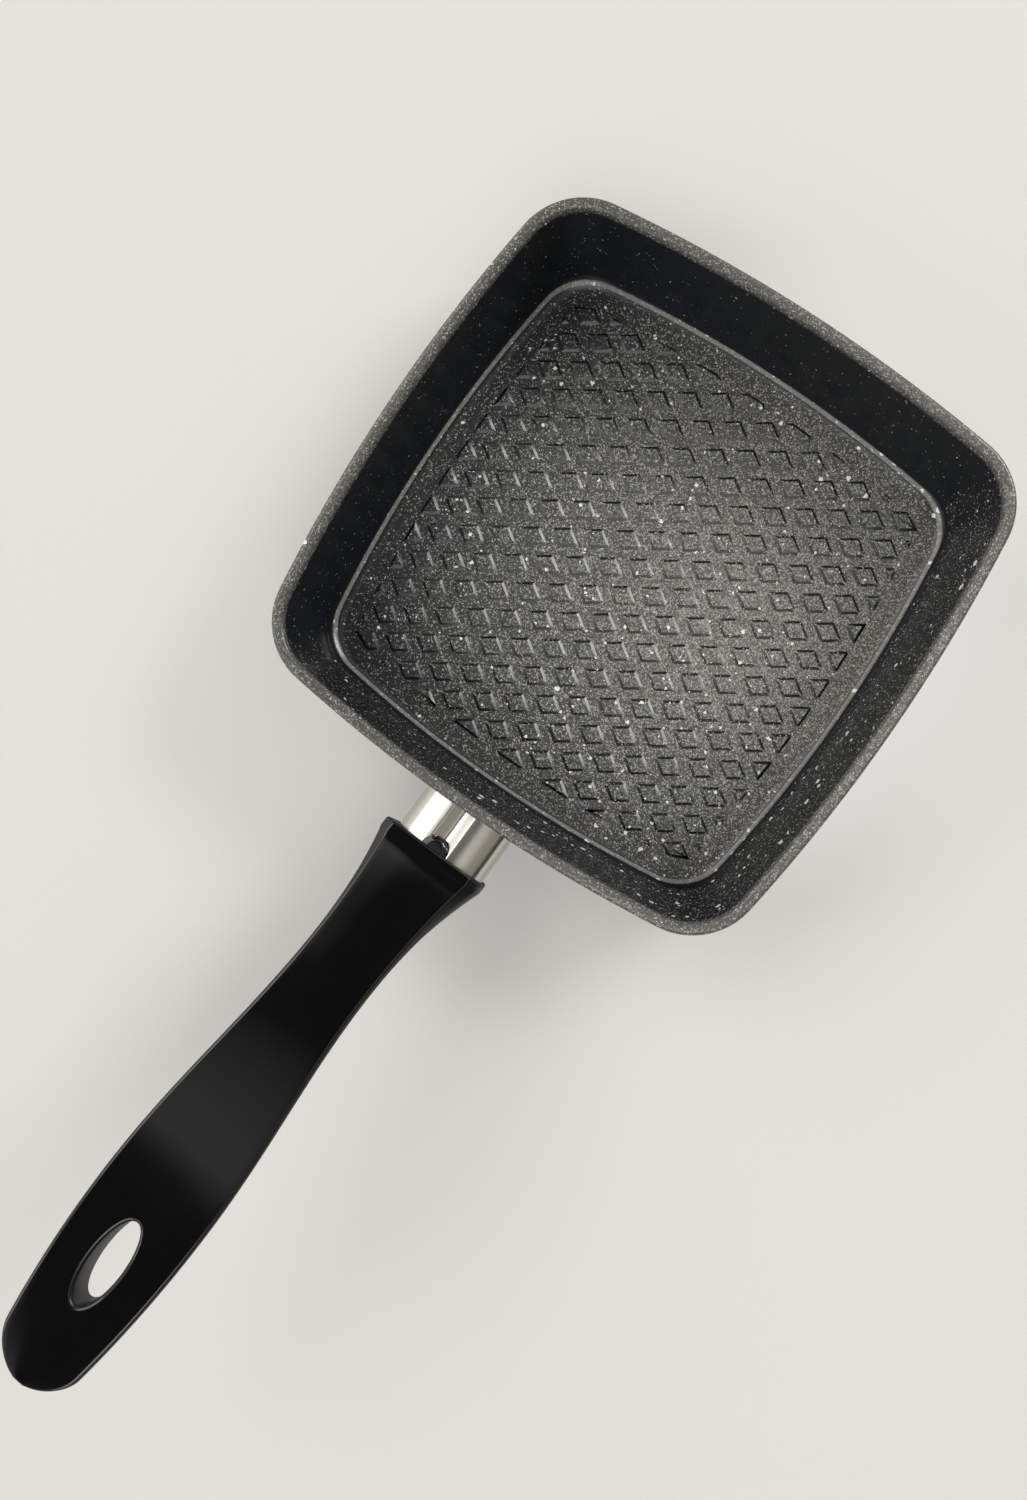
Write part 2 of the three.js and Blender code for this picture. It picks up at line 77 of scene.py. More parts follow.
def length(name, millimetres, description):
    """A length that a user can change."""
    return FloatProperty(
        name=name, description=description, default=millimetres * MM, unit="LENGTH", precision=5
    )


def angle(name, degrees, description):
    """An angle that a user can change."""
    return FloatProperty(
        name=name, description=description, default=math.radians(degrees), subtype="ANGLE"
    )


def colour(name, value, description):
    """A colour that a user can change, from its sRGB hex value."""
    return FloatVectorProperty(
        name=name, description=description, default=linear(value), subtype="COLOR", min=0, max=1
    )


def power(name, watts, description):
    """A lamp's power that a user can change."""
    return FloatProperty(name=name, description=description, default=watts, unit="POWER")


def section(name, millimetres, description):
    """A handle section: reach, width, thickness, inset, shoulder and keel."""
    return FloatVectorProperty(
        name=name,
        description=description + ": reach, width, thickness, inset, shoulder and keel",
        default=[value * MM for value in millimetres],
        size=len(millimetres),
        unit="LENGTH",
    )


class PanSizes(bpy.types.PropertyGroup):
    """Sizes of the coated pan."""

    height: length("Height", PAN_TOP / MM, "From the table to the top of the rim")
    floor: length("Floor", 3.3, "Thickness of the floor")
    wall: length("Wall", 3.4, "Thickness of the wall")
    rim_round: length("Rim round", 1.3, "Radius of the rim's two edges")
    inner_fillet: length("Inner fillet", 5, "Radius between the floor and the wall")
    outer_fillet: length("Outer fillet", 7, "Radius between the base and the wall")
    foot_width: length("Foot width", 142.4, "Inside, across the middle of the sides, at the floor")
    foot_bow: length("Foot bow", 402, "Radius of the bowed sides at the floor")
    foot_corner: length("Foot corner", 15.8, "Radius of the corners at the floor")
    rim_width: length("Rim width", 153.2, "Inside, across the middle of the sides, at the rim")
    rim_bow: length("Rim bow", 455, "Radius of the bowed sides at the rim")
    rim_corner: length("Rim corner", 17, "Radius of the corners at the rim")


class LozengeSizes(bpy.types.PropertyGroup):
    """Sizes of the raised lozenges on the pan's floor."""

    pitch_x: length("Pitch along X", 15.6, "Between lozenges in a row")
    pitch_y: length("Pitch along Y", 9.55, "Between every second row")
    shift: length("Shift", -0.3, "How far along Y the middle row is set off the pan's middle")
    length: length("Length", 10.2, "Along X, at the foot, before the corners are rounded")
    width: length("Width", 6.85, "Along Y, at the foot, before the corners are rounded")
    corner: length("Corner", 0.5, "Radius of the corners at the foot")
    slope: length("Slope", 0.78, "How far the top is set in from the foot")
    height: length("Height", 0.47, "Above the floor")
    margin: length("Margin", 7.8, "Bare floor inside the foot of the wall")
    top_corner: length("Top corner", 0.35, "Radius of the corners at the top")


class JointSizes(bpy.types.PropertyGroup):
    """Where the handle meets the pan, and the pieces on its screw axis."""

    height: length("Height", 18, "Where the screw axis meets the wall")
    shift: length("Shift", -0.5, "How far along X the screw axis meets the wall")
    tilt: angle("Tilt", 5, "Rise of the screw axis")
    turn: angle("Turn", 1.5, "How far the handle is turned to one side")
    twist: angle("Twist", 6, "How far the handle is twisted on its screw")
    gap: length("Seat gap", 0.3, "Between pieces that seat on each other")
    boss_diameter: length("Boss diameter", 11, "Across the welded boss")
    boss_length: length("Boss length", 15.5, "From the wall")
    weld: length("Weld bead", 1.6, "Width of the bead at the foot of the boss")
    thread_depth: length("Thread depth", 12, "Of the hole in the boss")
    thread_pitch: length("Thread pitch", 0.8, "Of the screw")
    shank_clearance: length("Shank clearance", 0.3, "Round the screw in its holes")
    screw_diameter: length("Screw diameter", 5, "Across the thread")
    head_diameter: length("Head diameter", 9.2, "Across the screw's head")
    head_height: length("Head height", 3.4, "Of the screw's domed head")
    head_rim: length("Head rim", 1.1, "Of the straight edge below the dome")
    drive_span: length("Drive span", 5, "Across the cross recess")
    drive_width: length("Drive width", 1.2, "Of each slot of the cross recess")
    drive_depth: length("Drive depth", 1.8, "Of the cross recess")
    flat_washer: length("Flat washer", 10, "Diameter of the flat washer")
    flat_washer_thickness: length("Flat washer thickness", 1, "Of the flat washer")
    spring_washer: length("Spring washer", 8.8, "Diameter of the spring washer")
    spring_washer_thickness: length("Spring washer thickness", 1.3, "Of the spring washer")
    spring_washer_split: length("Spring washer split", 1, "Width of the split")


class GuardSizes(bpy.types.PropertyGroup):
    """Sizes of the flame guard, an oval sleeve with a groove along its top."""

    width: length("Width", 28, "Across the sleeve")
    offset: length("Offset", 0.8, "To one side of the screw axis")
    height: length("Height", 18, "Of the sleeve")
    squareness: FloatProperty(name="Squareness", description="Power of its oval", default=2.6)
    sheet: length("Sheet", 1, "Thickness of the metal")
    reach: length("Reach", 17, "From the wall to the handle's front face")
    groove_width: length("Groove width", 7, "Across the groove")
    groove_depth: length("Groove depth", 1.8, "At the middle of the groove")
    groove_bottom: length("Groove bottom", 0.6, "Roundness of the groove's bottom")


class HandleSizes(bpy.types.PropertyGroup):
    """Sizes of the moulded handle."""

    reach: length("Reach", 153, "From the socket's floor to the tail, along the screw axis")
    lift: length("Lift", 35, "Of the tail above the screw axis")
    front_rise: angle("Front rise", 26, "Of the middle line at the front")
    tail_rise: angle("Tail rise", 6, "Of the middle line at the tail")
    square_run: length("Square run", 30, "Over which sections turn square to the middle line")
    front: section("Front", (0, 32.6, 22, 3.2, 3.6, 1.2), "Section at the collar")
    neck: section("Neck", (40, 22.3, 14.5, 0.7, 1.3, 2.6), "Section at the narrowest place")
    grip: section("Grip", (107, 30.5, 11.5, 0.6, 1.2, 3.6), "Section at the widest place of the grip")
    tail: section("Tail", (148, 24, 10, 0.6, 1.2, 3.2), "Section at the tail")
    edge_round: length("Edge round", 1, "Radius along the edges of the top")
    shoulder_round: length("Shoulder round", 3, "Radius along the widest line")
    keel_round: length("Keel round", 4, "Radius along the edges of the bottom")
    crown: length("Crown", 0.5, "How far the top swells in the middle")
    tail_round: length("Tail round", 8.5, "Length of the rounded end")
    tail_flat: angle("Tail flat", 14, "How much of the quarter turn the end leaves flat")
    tail_thinning: FloatProperty(
        name="Tail thinning", description="Share of the thickness lost at the end", default=0.03
    )
    front_round: length("Front round", 0.7, "Radius round the front face")
    socket_depth: length("Socket depth", 3, "Of the recess that takes the flame guard")
    web: length("Web", 7, "Between the socket's floor and the seat of the screw")
    driver_bore: length("Driver bore", 11.2, "Diameter of the bore for the screw's head")
    key_width: length("Key width", 7.6, "Of the tongue in the guard's groove")
    key_reach: length("Key reach", 4, "Of the tongue in front of the handle")
    key_root: length("Key root", 5, "Of the tongue inside the handle")
    key_drop: length("Key drop", 1.4, "Of the tongue's top below the handle's")
    key_round: length("Key round", 1.8, "Radius over the edge of the tongue")
    hole_reach: length("Hole reach", 126, "Along the middle line to the hang hole")
    hole_length: length("Hole length", 22.5, "Of the hang hole")
    hole_width: length("Hole width", 8.8, "Of the hang hole")
    hole_round: length("Hole round", 1.1, "Radius over the hole's edges")


class Finishes(bpy.types.PropertyGroup):
    """Colours of the finishes."""

    coat: colour("Coat", "#121519", "Ground of the speckled coat")
    # also a painted sheen on the floor, brightest round a spot right of its middle
    haze_and_sheen: colour("Haze", "#5a5957", "Ground where the grains lie thickest")
    # on the rim the coat's own grey; at the foot of the wall a painted highlight
    edge: colour("Edge", "#74736f", "Ground on the rim and in the hollow, where the coat lies smooth")
    pepper: colour("Pepper", "#b4b3ad", "Fine grains in the coat")
    fleck: colour("Fleck", "#e4e3dd", "Large grains in the coat")
    phenolic: colour("Phenolic", "#050505", "Moulded handle")
    guard: colour("Guard", "#cfccc6", "Polished sheet of the flame guard")
    boss: colour("Boss", "#b4b5b7", "Bare aluminium of the boss")
    zinc: colour("Zinc", "#b9bcc0", "Plating of the screw and washers")


class StageSettings(bpy.types.PropertyGroup):
    """Camera, light and table."""

    eye: FloatVectorProperty(
        name="Eye",
        description="Where the camera is",
        default=(19.6 * MM, -50.2 * MM, 323.5 * MM),
        subtype="XYZ",
        unit="LENGTH",
    )
    aim: FloatVectorProperty(
        name="Aim",
        description="How the camera is turned about X, Y and Z",
        default=[math.radians(turn) for turn in (0.62, 3.97, 34.40)],
        subtype="EULER",
    )
    lens: FloatProperty(
        name="Lens", description="Focal length on a 36 mm frame", default=26.39, unit="CAMERA"
    )
    table: colour("Table", "#bdbcb8", "Pale table top")
    table_glow: colour("Table glow", "#787777", "Light that the table top gives")
    horizon: colour("Horizon", "#fbfaf7", "Light from low round the object, and the backdrop")
    shade: colour("Shade", "#9c998d", "Light from the right")
    zenith: colour("Zenith", "#3c3d3e", "Light from the dark places overhead, low right and far left")
    panel: colour("Panel", "#c2c2c0", "Light from a ceiling panel a little to the left")
    key: colour("Key", "#fff9f0", "Light from the left")
    key_power: power("Key power", 11, "Of the light from the left")
    side: colour("Side", "#ffffff", "Light from low on the side away from the handle")
    side_power: power("Side power", 18.5, "Of the light on the side away from the handle")
    fill: colour("Fill", "#ffffff", "Light from the handle's right")
    fill_power: power("Fill power", 10, "Of the light from the handle's right")
    back: colour("Back", "#ffffff", "Small light from the handle's left")
    back_power: power("Back power", 2.9, "Of the small light from the handle's left")


class ButterPan(bpy.types.PropertyGroup):
    """All that a user can change on the butter pan."""

    pan: PointerProperty(type=PanSizes)
    lozenge: PointerProperty(type=LozengeSizes)
    joint: PointerProperty(type=JointSizes)
    guard: PointerProperty(type=GuardSizes)
    handle: PointerProperty(type=HandleSizes)
    finish: PointerProperty(type=Finishes)
    stage: PointerProperty(type=StageSettings)


# Meshes

def grid(points, wrap_rows=False, wrap_columns=True):
    """A patch of rows by columns of points, with a four-sided face in each cell. A wrapped direction
    joins its last line to its first. Faces look towards columns crossed with rows."""
    rows, columns = points.shape[:2]
    index = np.arange(rows * columns).reshape(rows, columns)
    if wrap_columns:
        index = np.concatenate([index, index[:, :1]], axis=1)
    if wrap_rows:
        index = np.concatenate([index, index[:1]], axis=0)
    corners = [index[:-1, :-1], index[:-1, 1:], index[1:, 1:], index[1:, :-1]]
    return points.reshape(-1, 3), np.stack(corners, axis=-1).reshape(-1, 4)


def make_piece(name, node, patches, finish, crease=math.radians(45)):
    """Joins patches into one mesh, welds them where they meet and rides it on the part, in place of a
    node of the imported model."""
    starts = np.cumsum([0] + [len(points) for points, _ in patches])
    faces = [face for (_, cells), start in zip(patches, starts) for face in (cells + start).tolist()]
    mesh = bpy.data.meshes.new(name)
    mesh.from_pydata(np.concatenate([points for points, _ in patches]).tolist(), [], faces)
    shape = bmesh.new()
    shape.from_mesh(mesh)
    bmesh.ops.remove_doubles(shape, verts=shape.verts, dist=WELD)
    bmesh.ops.dissolve_degenerate(shape, edges=shape.edges, dist=WELD)
    shape.to_mesh(mesh)
    shape.free()
    mesh.shade_smooth()
    mesh.set_sharp_from_angle(angle=crease)
    mesh.materials.append(finish)
    piece = bpy.data.objects.new(name, mesh)
    bpy.context.scene.collection.objects.link(piece)
    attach(piece, BODY)
    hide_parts(node)


def closed(ring):
    """A patch that closes a flat ring with one face."""
    return ring, np.arange(len(ring))[None, :]


# Pan

def bowed_square(half, bow, corner, side_steps=40, corner_steps=24):
    """Outlines of a square with bowed sides, one for each value of half, as complex numbers. A side
    is an arc of radius bow whose middle lies half from the centre, and a corner an arc of radius
    corner about a point on the diagonal, where it is tangent to both sides."""
    half, bow, corner = (np.atleast_1d(value)[:, None] for value in (half, bow, corner))
    shift = bow - half
    reach = bow - corner
    diagonal = (np.sqrt(2 * reach**2 - shift**2) - shift) / 2
    turn = np.arctan2(diagonal, diagonal + shift)
    side_angle = turn * np.linspace(-1, 1, side_steps, endpoint=False)
    bend_angle = turn + (np.pi / 2 - 2 * turn) * np.linspace(0, 1, corner_steps, endpoint=False)
    side = bow * np.exp(1j * side_angle) - shift
    bend = diagonal * (1 + 1j) + corner * np.exp(1j * bend_angle)
    quarter = np.concatenate([side, bend], axis=1)
    return np.concatenate([quarter * 1j**k for k in range(4)], axis=1)


def rim_flare(pan):
    """How far the wall opens from its foot to the rim."""
    return (pan.rim_width - pan.foot_width) / 2


def wall_draft(pan):
    """The wall's lean from upright."""
    return math.atan2(rim_flare(pan), pan.height - pan.rim_round - pan.floor)


def flare_at(pan, z):
    """How far the wall has opened at a height."""
    return (z - pan.floor) * math.tan(wall_draft(pan))


def pan_outline(pan, flare, offset):
    """The pan's outlines where the wall has opened by flare, set out from its inner face by offset."""
    share = flare / rim_flare(pan)
    bow = pan.foot_bow + (pan.rim_bow - pan.foot_bow) * share
    corner = pan.foot_corner + (pan.rim_corner - pan.foot_corner) * share
    return bowed_square(pan.foot_width / 2 + flare + offset, bow + offset, corner + offset)


def lifted(outline, z):
    """Complex outlines as points at heights z."""
    z = np.broadcast_to(np.reshape(z, (-1, 1)), outline.shape)
    return np.stack([outline.real, outline.imag, z], axis=-1)


def pan_section(pan, fillet_steps=12, rim_steps=8):
    """Flare, offset and height along the pan's section: the fillet from the base to the outside, the
    two quarter rounds of the rim, and the fillet from the inside to the floor."""
    draft = wall_draft(pan)
    rim_level = pan.height - pan.rim_round
    outer = np.linspace(-np.pi / 2, -draft, fillet_steps)
    outer_z = pan.outer_fillet * (1 + np.sin(outer))
    outer_flare = flare_at(pan, outer_z)
    outer_centre = flare_at(pan, pan.outer_fillet) + pan.wall - pan.outer_fillet / math.cos(draft)
    quarter = np.linspace(0, np.pi / 2, rim_steps)
    rim_out = pan.wall - pan.rim_round * (1 - np.cos(quarter))
    rim_in = pan.rim_round * (1 - np.sin(quarter))
    inner = np.linspace(-draft, -np.pi / 2, fillet_steps)
    inner_centre = -pan.inner_fillet * math.tan((np.pi / 2 - draft) / 2)
    rim_flares = np.full(2 * rim_steps, rim_flare(pan))
    flare = np.concatenate([outer_flare, rim_flares, inner_centre + pan.inner_fillet * np.cos(inner)])
    offset = np.concatenate([
        outer_centre + pan.outer_fillet * np.cos(outer) - outer_flare,
        rim_out,
        rim_in,
        np.zeros(fillet_steps),
    ])
    z = np.concatenate([
        outer_z,
        rim_level + pan.rim_round * np.sin(quarter),
        rim_level + pan.rim_round * np.cos(quarter),
        pan.floor + pan.inner_fillet * (1 + np.sin(inner)),
    ])
    return flare, offset, z


def clipped(corners, normal, limit):
    """A convex outline cut along a straight line: what lies at most limit along normal."""
    depth = limit - (corners * np.conj(normal)).real
    following = np.roll(corners, -1)
    crossing = depth * np.roll(depth, -1) < 0
    change = depth - np.roll(depth, -1)
    share = np.divide(depth, change, out=np.zeros_like(depth), where=crossing)
    kept = np.where(depth >= 0, corners, np.nan)
    cut = np.where(crossing, corners + share * (following - corners), np.nan)
    both = np.stack([kept, cut], axis=1).ravel()
    return both[~np.isnan(both)]


def inset(corners, distance):
    """A convex outline with every side moved in by distance."""
    side = np.roll(corners, -1) - corners
    outward = -1j * side / np.abs(side)
    before = np.roll(outward, 1)
    return corners - distance * (before + outward) / (1 + (before * np.conj(outward)).real)


def rounded(corners, radius, steps=3):
    """An outline with every corner rounded by a parabola that is tangent to its sides."""
    before = np.roll(corners, 1) - corners
    after = np.roll(corners, -1) - corners
    half = np.abs(np.angle(before / after)) / 2
    longest = ROUND_SHARE * np.minimum(np.abs(before), np.abs(after))
    trim = np.minimum(radius / np.tan(half), longest)
    start = (trim * before / np.abs(before))[:, None]
    end = (trim * after / np.abs(after))[:, None]
    t = np.linspace(0, 1, steps + 1)
    return (corners[:, None] + (1 - t)**2 * start + t**2 * end).ravel()


def lozenge_centres(pan, lozenge):
    """Centres of the lozenges: rows half a pitch apart, every other row set over by half a pitch."""
    reach = pan.foot_width / 2
    rows = math.ceil(2 * reach / lozenge.pitch_y)
    columns = math.ceil(reach / lozenge.pitch_x)
    row, column = np.meshgrid(np.arange(-rows, rows + 1), np.arange(-columns, columns + 1), indexing="ij")
    x = (column + np.where(row % 2 == 0, 0.5, 0)) * lozenge.pitch_x
    return (x + 1j * (0.5 * row * lozenge.pitch_y + lozenge.shift)).ravel()


def border_lines(pan, lozenge, centre, towards_corner=1.2):
    """Straight lines, as normals and limits, that stand for the field's border near a lozenge: the
    tangents of its four bowed sides, and those of its corner arcs that look towards their corner."""
    half = pan.foot_width / 2 - lozenge.margin
    bow = pan.foot_bow - lozenge.margin
    corner = pan.foot_corner - lozenge.margin
    shift = bow - half
    reach = bow - corner
    diagonal = (math.sqrt(2 * reach**2 - shift**2) - shift) / 2
    for k in range(4):
        for middle, radius in ((-shift * 1j**k, bow), (diagonal * (1 + 1j) * 1j**k, corner)):
            normal = (centre - middle) / abs(centre - middle)
            facing = (normal * np.conj((1 + 1j) * 1j**k)).real > towards_corner
            if radius == bow or facing:
                yield normal, radius + (middle * np.conj(normal)).real


def lozenge_outlines(pan, lozenge, smallest_share=0.12):
    """The corners of every lozenge, cut along the field's border. What is left too small is dropped."""
    a = lozenge.length / 2
    b = lozenge.width / 2
    whole = np.array([a, 1j * b, -a, -1j * b])
    smallest = smallest_share * 2 * a * b
    outlines = []
    for centre in lozenge_centres(pan, lozenge):
        corners = whole + centre
        for normal, limit in border_lines(pan, lozenge, centre):
            corners = clipped(corners, normal, limit) if len(corners) > 2 else corners
        if len(corners) > 2:
            area = (np.conj(corners) * np.roll(corners, -1)).imag.sum() / 2
            if area > smallest:
                outlines.append(corners)
    return outlines


def lozenge_patches(pan, lozenge):
    """The foot of each lozenge, and its patches: a slope from the foot up to the top, and one face over
    the top."""
    feet = []
    patches = []
    for corners in lozenge_outlines(pan, lozenge):
        foot = rounded(corners, lozenge.corner)
        top = rounded(inset(corners, lozenge.slope), lozenge.top_corner)
        points = lifted(np.array([foot, top]), [pan.floor, pan.floor + lozenge.height])
        feet.append(foot)
        patches.append(grid(points))
        patches.append(closed(points[-1]))
    return feet, patches


def floor_patch(edge, feet, z):
    """The floor between its edge and the feet of the lozenges, in triangles that run along both. A
    triangle with all its corners on one lozenge lies under it and is left out."""
    loops = [edge] + feet
    starts = np.cumsum([0] + [len(loop) for loop in loops])
    owner = np.concatenate([np.full(len(loop), i) for i, loop in enumerate(loops)])
    flat = np.concatenate(loops)
    sides = np.concatenate([
        np.stack([np.arange(len(loop)), np.roll(np.arange(len(loop)), -1)], axis=1) + start
        for loop, start in zip(loops, starts)
    ])
    scale = 1 / MM
    spots = [Vector(spot) for spot in np.stack([flat.real, flat.imag], axis=1) * scale]
    every_triangle = 0
    tolerance = 1e-6
    found = delaunay_2d_cdt(spots, sides.tolist(), [], every_triangle, tolerance)
    spots, _, cells, origins, _, _ = found
    points = np.array([(*spot, 0) for spot in spots]) / scale + np.array([0, 0, z])
    first = np.array([origin[0] for origin in origins])
    cells = np.array(cells)
    ids = owner[first[cells]]
    under = (ids[:, 0] == ids[:, 1]) & (ids[:, 1] == ids[:, 2]) & (ids[:, 0] > 0)
    return points, cells[~under]


def pan_patches(pan, lozenge):
    """The pan: its section carried round its outline, the base, the floor and the lozenges."""
    flare, offset, z = pan_section(pan)
    outlines = pan_outline(pan, flare, offset)
    wall = grid(lifted(outlines, z))
    base_shares = np.array([[0], [0.5], [0.99], [1]])
    base = grid(lifted(outlines[:1] * base_shares, np.zeros(len(base_shares))))
    feet, lozenges = lozenge_patches(pan, lozenge)
    return [base, wall, floor_patch(outlines[-1], feet, pan.floor), *lozenges]


# Handle joint

def turned(axis, amount):
    """The matrix of a turn about X, Y or Z."""
    matrix = np.eye(3)
    i, j = [(1, 2), (2, 0), (0, 1)][axis]
    matrix[i, i] = matrix[j, j] = math.cos(amount)
    matrix[i, j] = -math.sin(amount)
    matrix[j, i] = math.sin(amount)
    return matrix


def from_joint(settings, points):
    """Points of the handle's own frame, in which -Y runs out along the screw axis from the wall,
    brought to the part's frame."""
    joint = settings.joint
    pan = settings.pan
    turn = turned(2, -joint.turn) @ turned(0, -joint.tilt) @ turned(1, -joint.twist)
    reach = pan.foot_width / 2 + flare_at(pan, joint.height) + pan.wall
    return points @ turn.T + np.array([joint.shift, -reach, joint.height])


def wall_distance(settings, x, z, tries=12):
    """How far along the screw axis, from the joint's origin, lines at x and z meet the pan's wall.
    The wall is a bowed side: an arc in plan whose middle moves out with height. Each try goes on by
    what the last one missed."""
    pan = settings.pan
    along = np.zeros_like(x)
    for _ in range(tries):
        place = from_joint(settings, np.stack([x, -along, z], axis=-1))
        flare = flare_at(pan, place[..., 2])
        share = flare / rim_flare(pan)
        bow = pan.foot_bow + (pan.rim_bow - pan.foot_bow) * share + pan.wall
        half = pan.foot_width / 2 + flare + pan.wall
        wall = bow - half - np.sqrt(bow**2 - place[..., 0]**2)
        along = along + place[..., 1] - wall
    return along


def carried(settings, patches):
    """Patches of the handle's own frame, in the part's frame."""
    return [(from_joint(settings, points), cells) for points, cells in patches]


def circle(radius, angles, along):
    """A ring about the screw axis at a distance from the wall."""
    return np.stack([
        radius * np.cos(angles), np.full(len(angles), -along), radius * np.sin(angles)
    ], axis=-1)


def revolved(profile, steps=64):
    """A closed profile of radius and distance along the axis, carried round the screw axis."""
    angles = np.linspace(0, 2 * np.pi, steps, endpoint=False)
    rings = np.array([circle(radius, angles, along) for radius, along in profile])
    return grid(rings, wrap_rows=True)


# Flame guard

def groove_dip(guard, grow, x):
    """How far the guard's top dips at x from its middle: straight sides and a round bottom, part of a
    hyperbola y = sqrt(x^2 + bottom^2)."""
    bottom = guard.groove_bottom
    edge = math.hypot(guard.groove_width / 2 - grow, bottom)
    return guard.groove_depth * np.maximum(0, edge - np.hypot(x, bottom)) / (edge - bottom)


def guard_outline(guard, grow, angles):
    """The guard's section at angles, grown by a distance: an oval of a given power, with the groove
    in its top."""
    exponent = 2 / guard.squareness
    x = (guard.width / 2 + grow) * np.sign(np.cos(angles)) * np.abs(np.cos(angles))**exponent
    z = (guard.height / 2 + grow) * np.sign(np.sin(angles)) * np.abs(np.sin(angles))**exponent
    dip = np.where(z > 0, groove_dip(guard, grow, x), 0)
    return x + guard.offset, z - dip


def guard_top(guard, grow, x):
    """The height of the same section's top at x."""
    across = x - guard.offset
    oval = 1 - np.abs(across / (guard.width / 2 + grow))**guard.squareness
    return (guard.height / 2 + grow) * oval**(1 / guard.squareness) - groove_dip(guard, grow, across)


def guard_patch(settings, steps=360):
    """The sleeve: its outline carried from the wall into the handle's socket and back inside."""
    guard = settings.guard
    handle = settings.handle
    gap = settings.joint.gap
    angles = np.linspace(0, 2 * np.pi, steps, endpoint=False)
    end = guard.reach + handle.socket_depth - gap
    lip = 0.25 * guard.sheet
    rows = []
    for grow, shares in ((0, (0, 0.5, 1)), (-lip, (1,)), (-guard.sheet, (1, 0.5, 0)), (-lip, (0,))):
        x, z = guard_outline(guard, grow, angles)
        start = wall_distance(settings, x, z) + gap
        for share in shares:
            rows.append(np.stack([x, -(start + (end - start) * share), z], axis=-1))
    return grid(np.array(rows), wrap_rows=True)


# Screw, washers and boss

def axis_places(settings):
    """Distances from the wall along the screw axis: the screw's seat, both washers, the screw's head
    and its tip."""
    joint = settings.joint
    seat = settings.guard.reach + settings.handle.socket_depth + settings.handle.web
    flat = seat + joint.gap
    spring = flat + joint.flat_washer_thickness + joint.gap
    head = spring + joint.spring_washer_thickness + joint.gap
    tip = joint.boss_length - joint.thread_depth + joint.gap
    return seat, flat, spring, head, tip


def screw_patch(settings, steps=48, turn_rows=10, dome_rows=40):
    """The screw: a shank whose radius follows a helix, r = R - depth * ridge(turns - angle / 2 pi), and
    a domed head whose height falls off with the fourth power of the radius, sunk by a cross recess.
    The thread fades out under the head, and the tip narrows to a share of the shank."""
    joint = settings.joint
    _, _, _, head, tip = axis_places(settings)
    angles = np.linspace(0, 2 * np.pi, steps, endpoint=False)
    radius = joint.screw_diameter / 2
    depth = 0.6 * joint.thread_pitch
    fade_run = 2 * joint.thread_pitch
    tip_run = 1.5 * joint.thread_pitch
    tip_share = 0.75
    slot_edge = 0.15 * MM
    rows = math.ceil(turn_rows * (head - tip) / joint.thread_pitch)
    along = np.linspace(tip, head, rows)
    phase = np.mod(along[:, None] / joint.thread_pitch - angles / (2 * np.pi), 1)
    fade = np.clip((head - along) / fade_run, 0, 1)[:, None]
    full = np.clip((along - tip) / tip_run, 0, 1)[:, None]
    ridge = depth * (0.5 + 0.5 * np.cos(2 * np.pi * phase)) * fade
    shank_radius = (radius - ridge) * (tip_share + (1 - tip_share) * full)
    shank = np.stack([
        shank_radius * np.cos(angles),
        np.broadcast_to(-along[:, None], shank_radius.shape),
        shank_radius * np.sin(angles),
    ], axis=-1)
    tip_centre = circle(0, angles, tip)[None]
    half = joint.head_diameter / 2
    rim = [circle(half, angles, head), circle(half, angles, head + joint.head_rim)]
    shares = np.linspace(1, 0, dome_rows)[:, None]
    spread = shares * half
    x = spread * np.cos(angles)
    z = spread * np.sin(angles)
    dome = joint.head_rim + (joint.head_height - joint.head_rim) * np.sqrt(1 - shares**4)
    slot = np.minimum(np.abs(x), np.abs(z)) - joint.drive_width / 2
    reach = np.maximum(np.abs(x), np.abs(z)) - joint.drive_span / 2
    inside = np.clip(-np.maximum(slot, reach) / slot_edge, 0, 1)
    sunk = np.minimum(dome, joint.head_height - joint.drive_depth)
    rise = dome + (sunk - dome) * inside
    cap = np.stack([x, -(head + rise), z], axis=-1)
    return grid(np.concatenate([tip_centre, shank, rim, cap]))


def flat_washer_patch(settings):
    """A flat ring with a small chamfer on every edge."""
    joint = settings.joint
    start = axis_places(settings)[1]
    end = start + joint.flat_washer_thickness
    outer = joint.flat_washer / 2
    inner = joint.screw_diameter / 2 + joint.shank_clearance
    chamfer = 0.15 * MM
    return revolved([
        (inner, start + chamfer), (inner + chamfer, start), (outer - chamfer, start),
        (outer, start + chamfer), (outer, end - chamfer), (outer - chamfer, end),
        (inner + chamfer, end), (inner, end - chamfer),
    ])


def spring_washer_patches(settings, steps=72):
    """A square wire bent once round the screw, open at its split."""
    joint = settings.joint
    _, _, start, _, _ = axis_places(settings)
    outer = joint.spring_washer / 2
    inner = joint.screw_diameter / 2 + joint.shank_clearance
    split = joint.spring_washer_split / outer
    angles = np.linspace(split / 2, 2 * np.pi - split / 2, steps) - np.pi / 2
    end = start + joint.spring_washer_thickness
    ring = np.array([
        circle(radius, angles, along)
        for radius, along in ((inner, start), (outer, start), (outer, end), (inner, end))
    ])
    wire = grid(ring, wrap_rows=True, wrap_columns=False)
    return [wire, closed(ring[:, 0]), closed(ring[::-1, -1])]


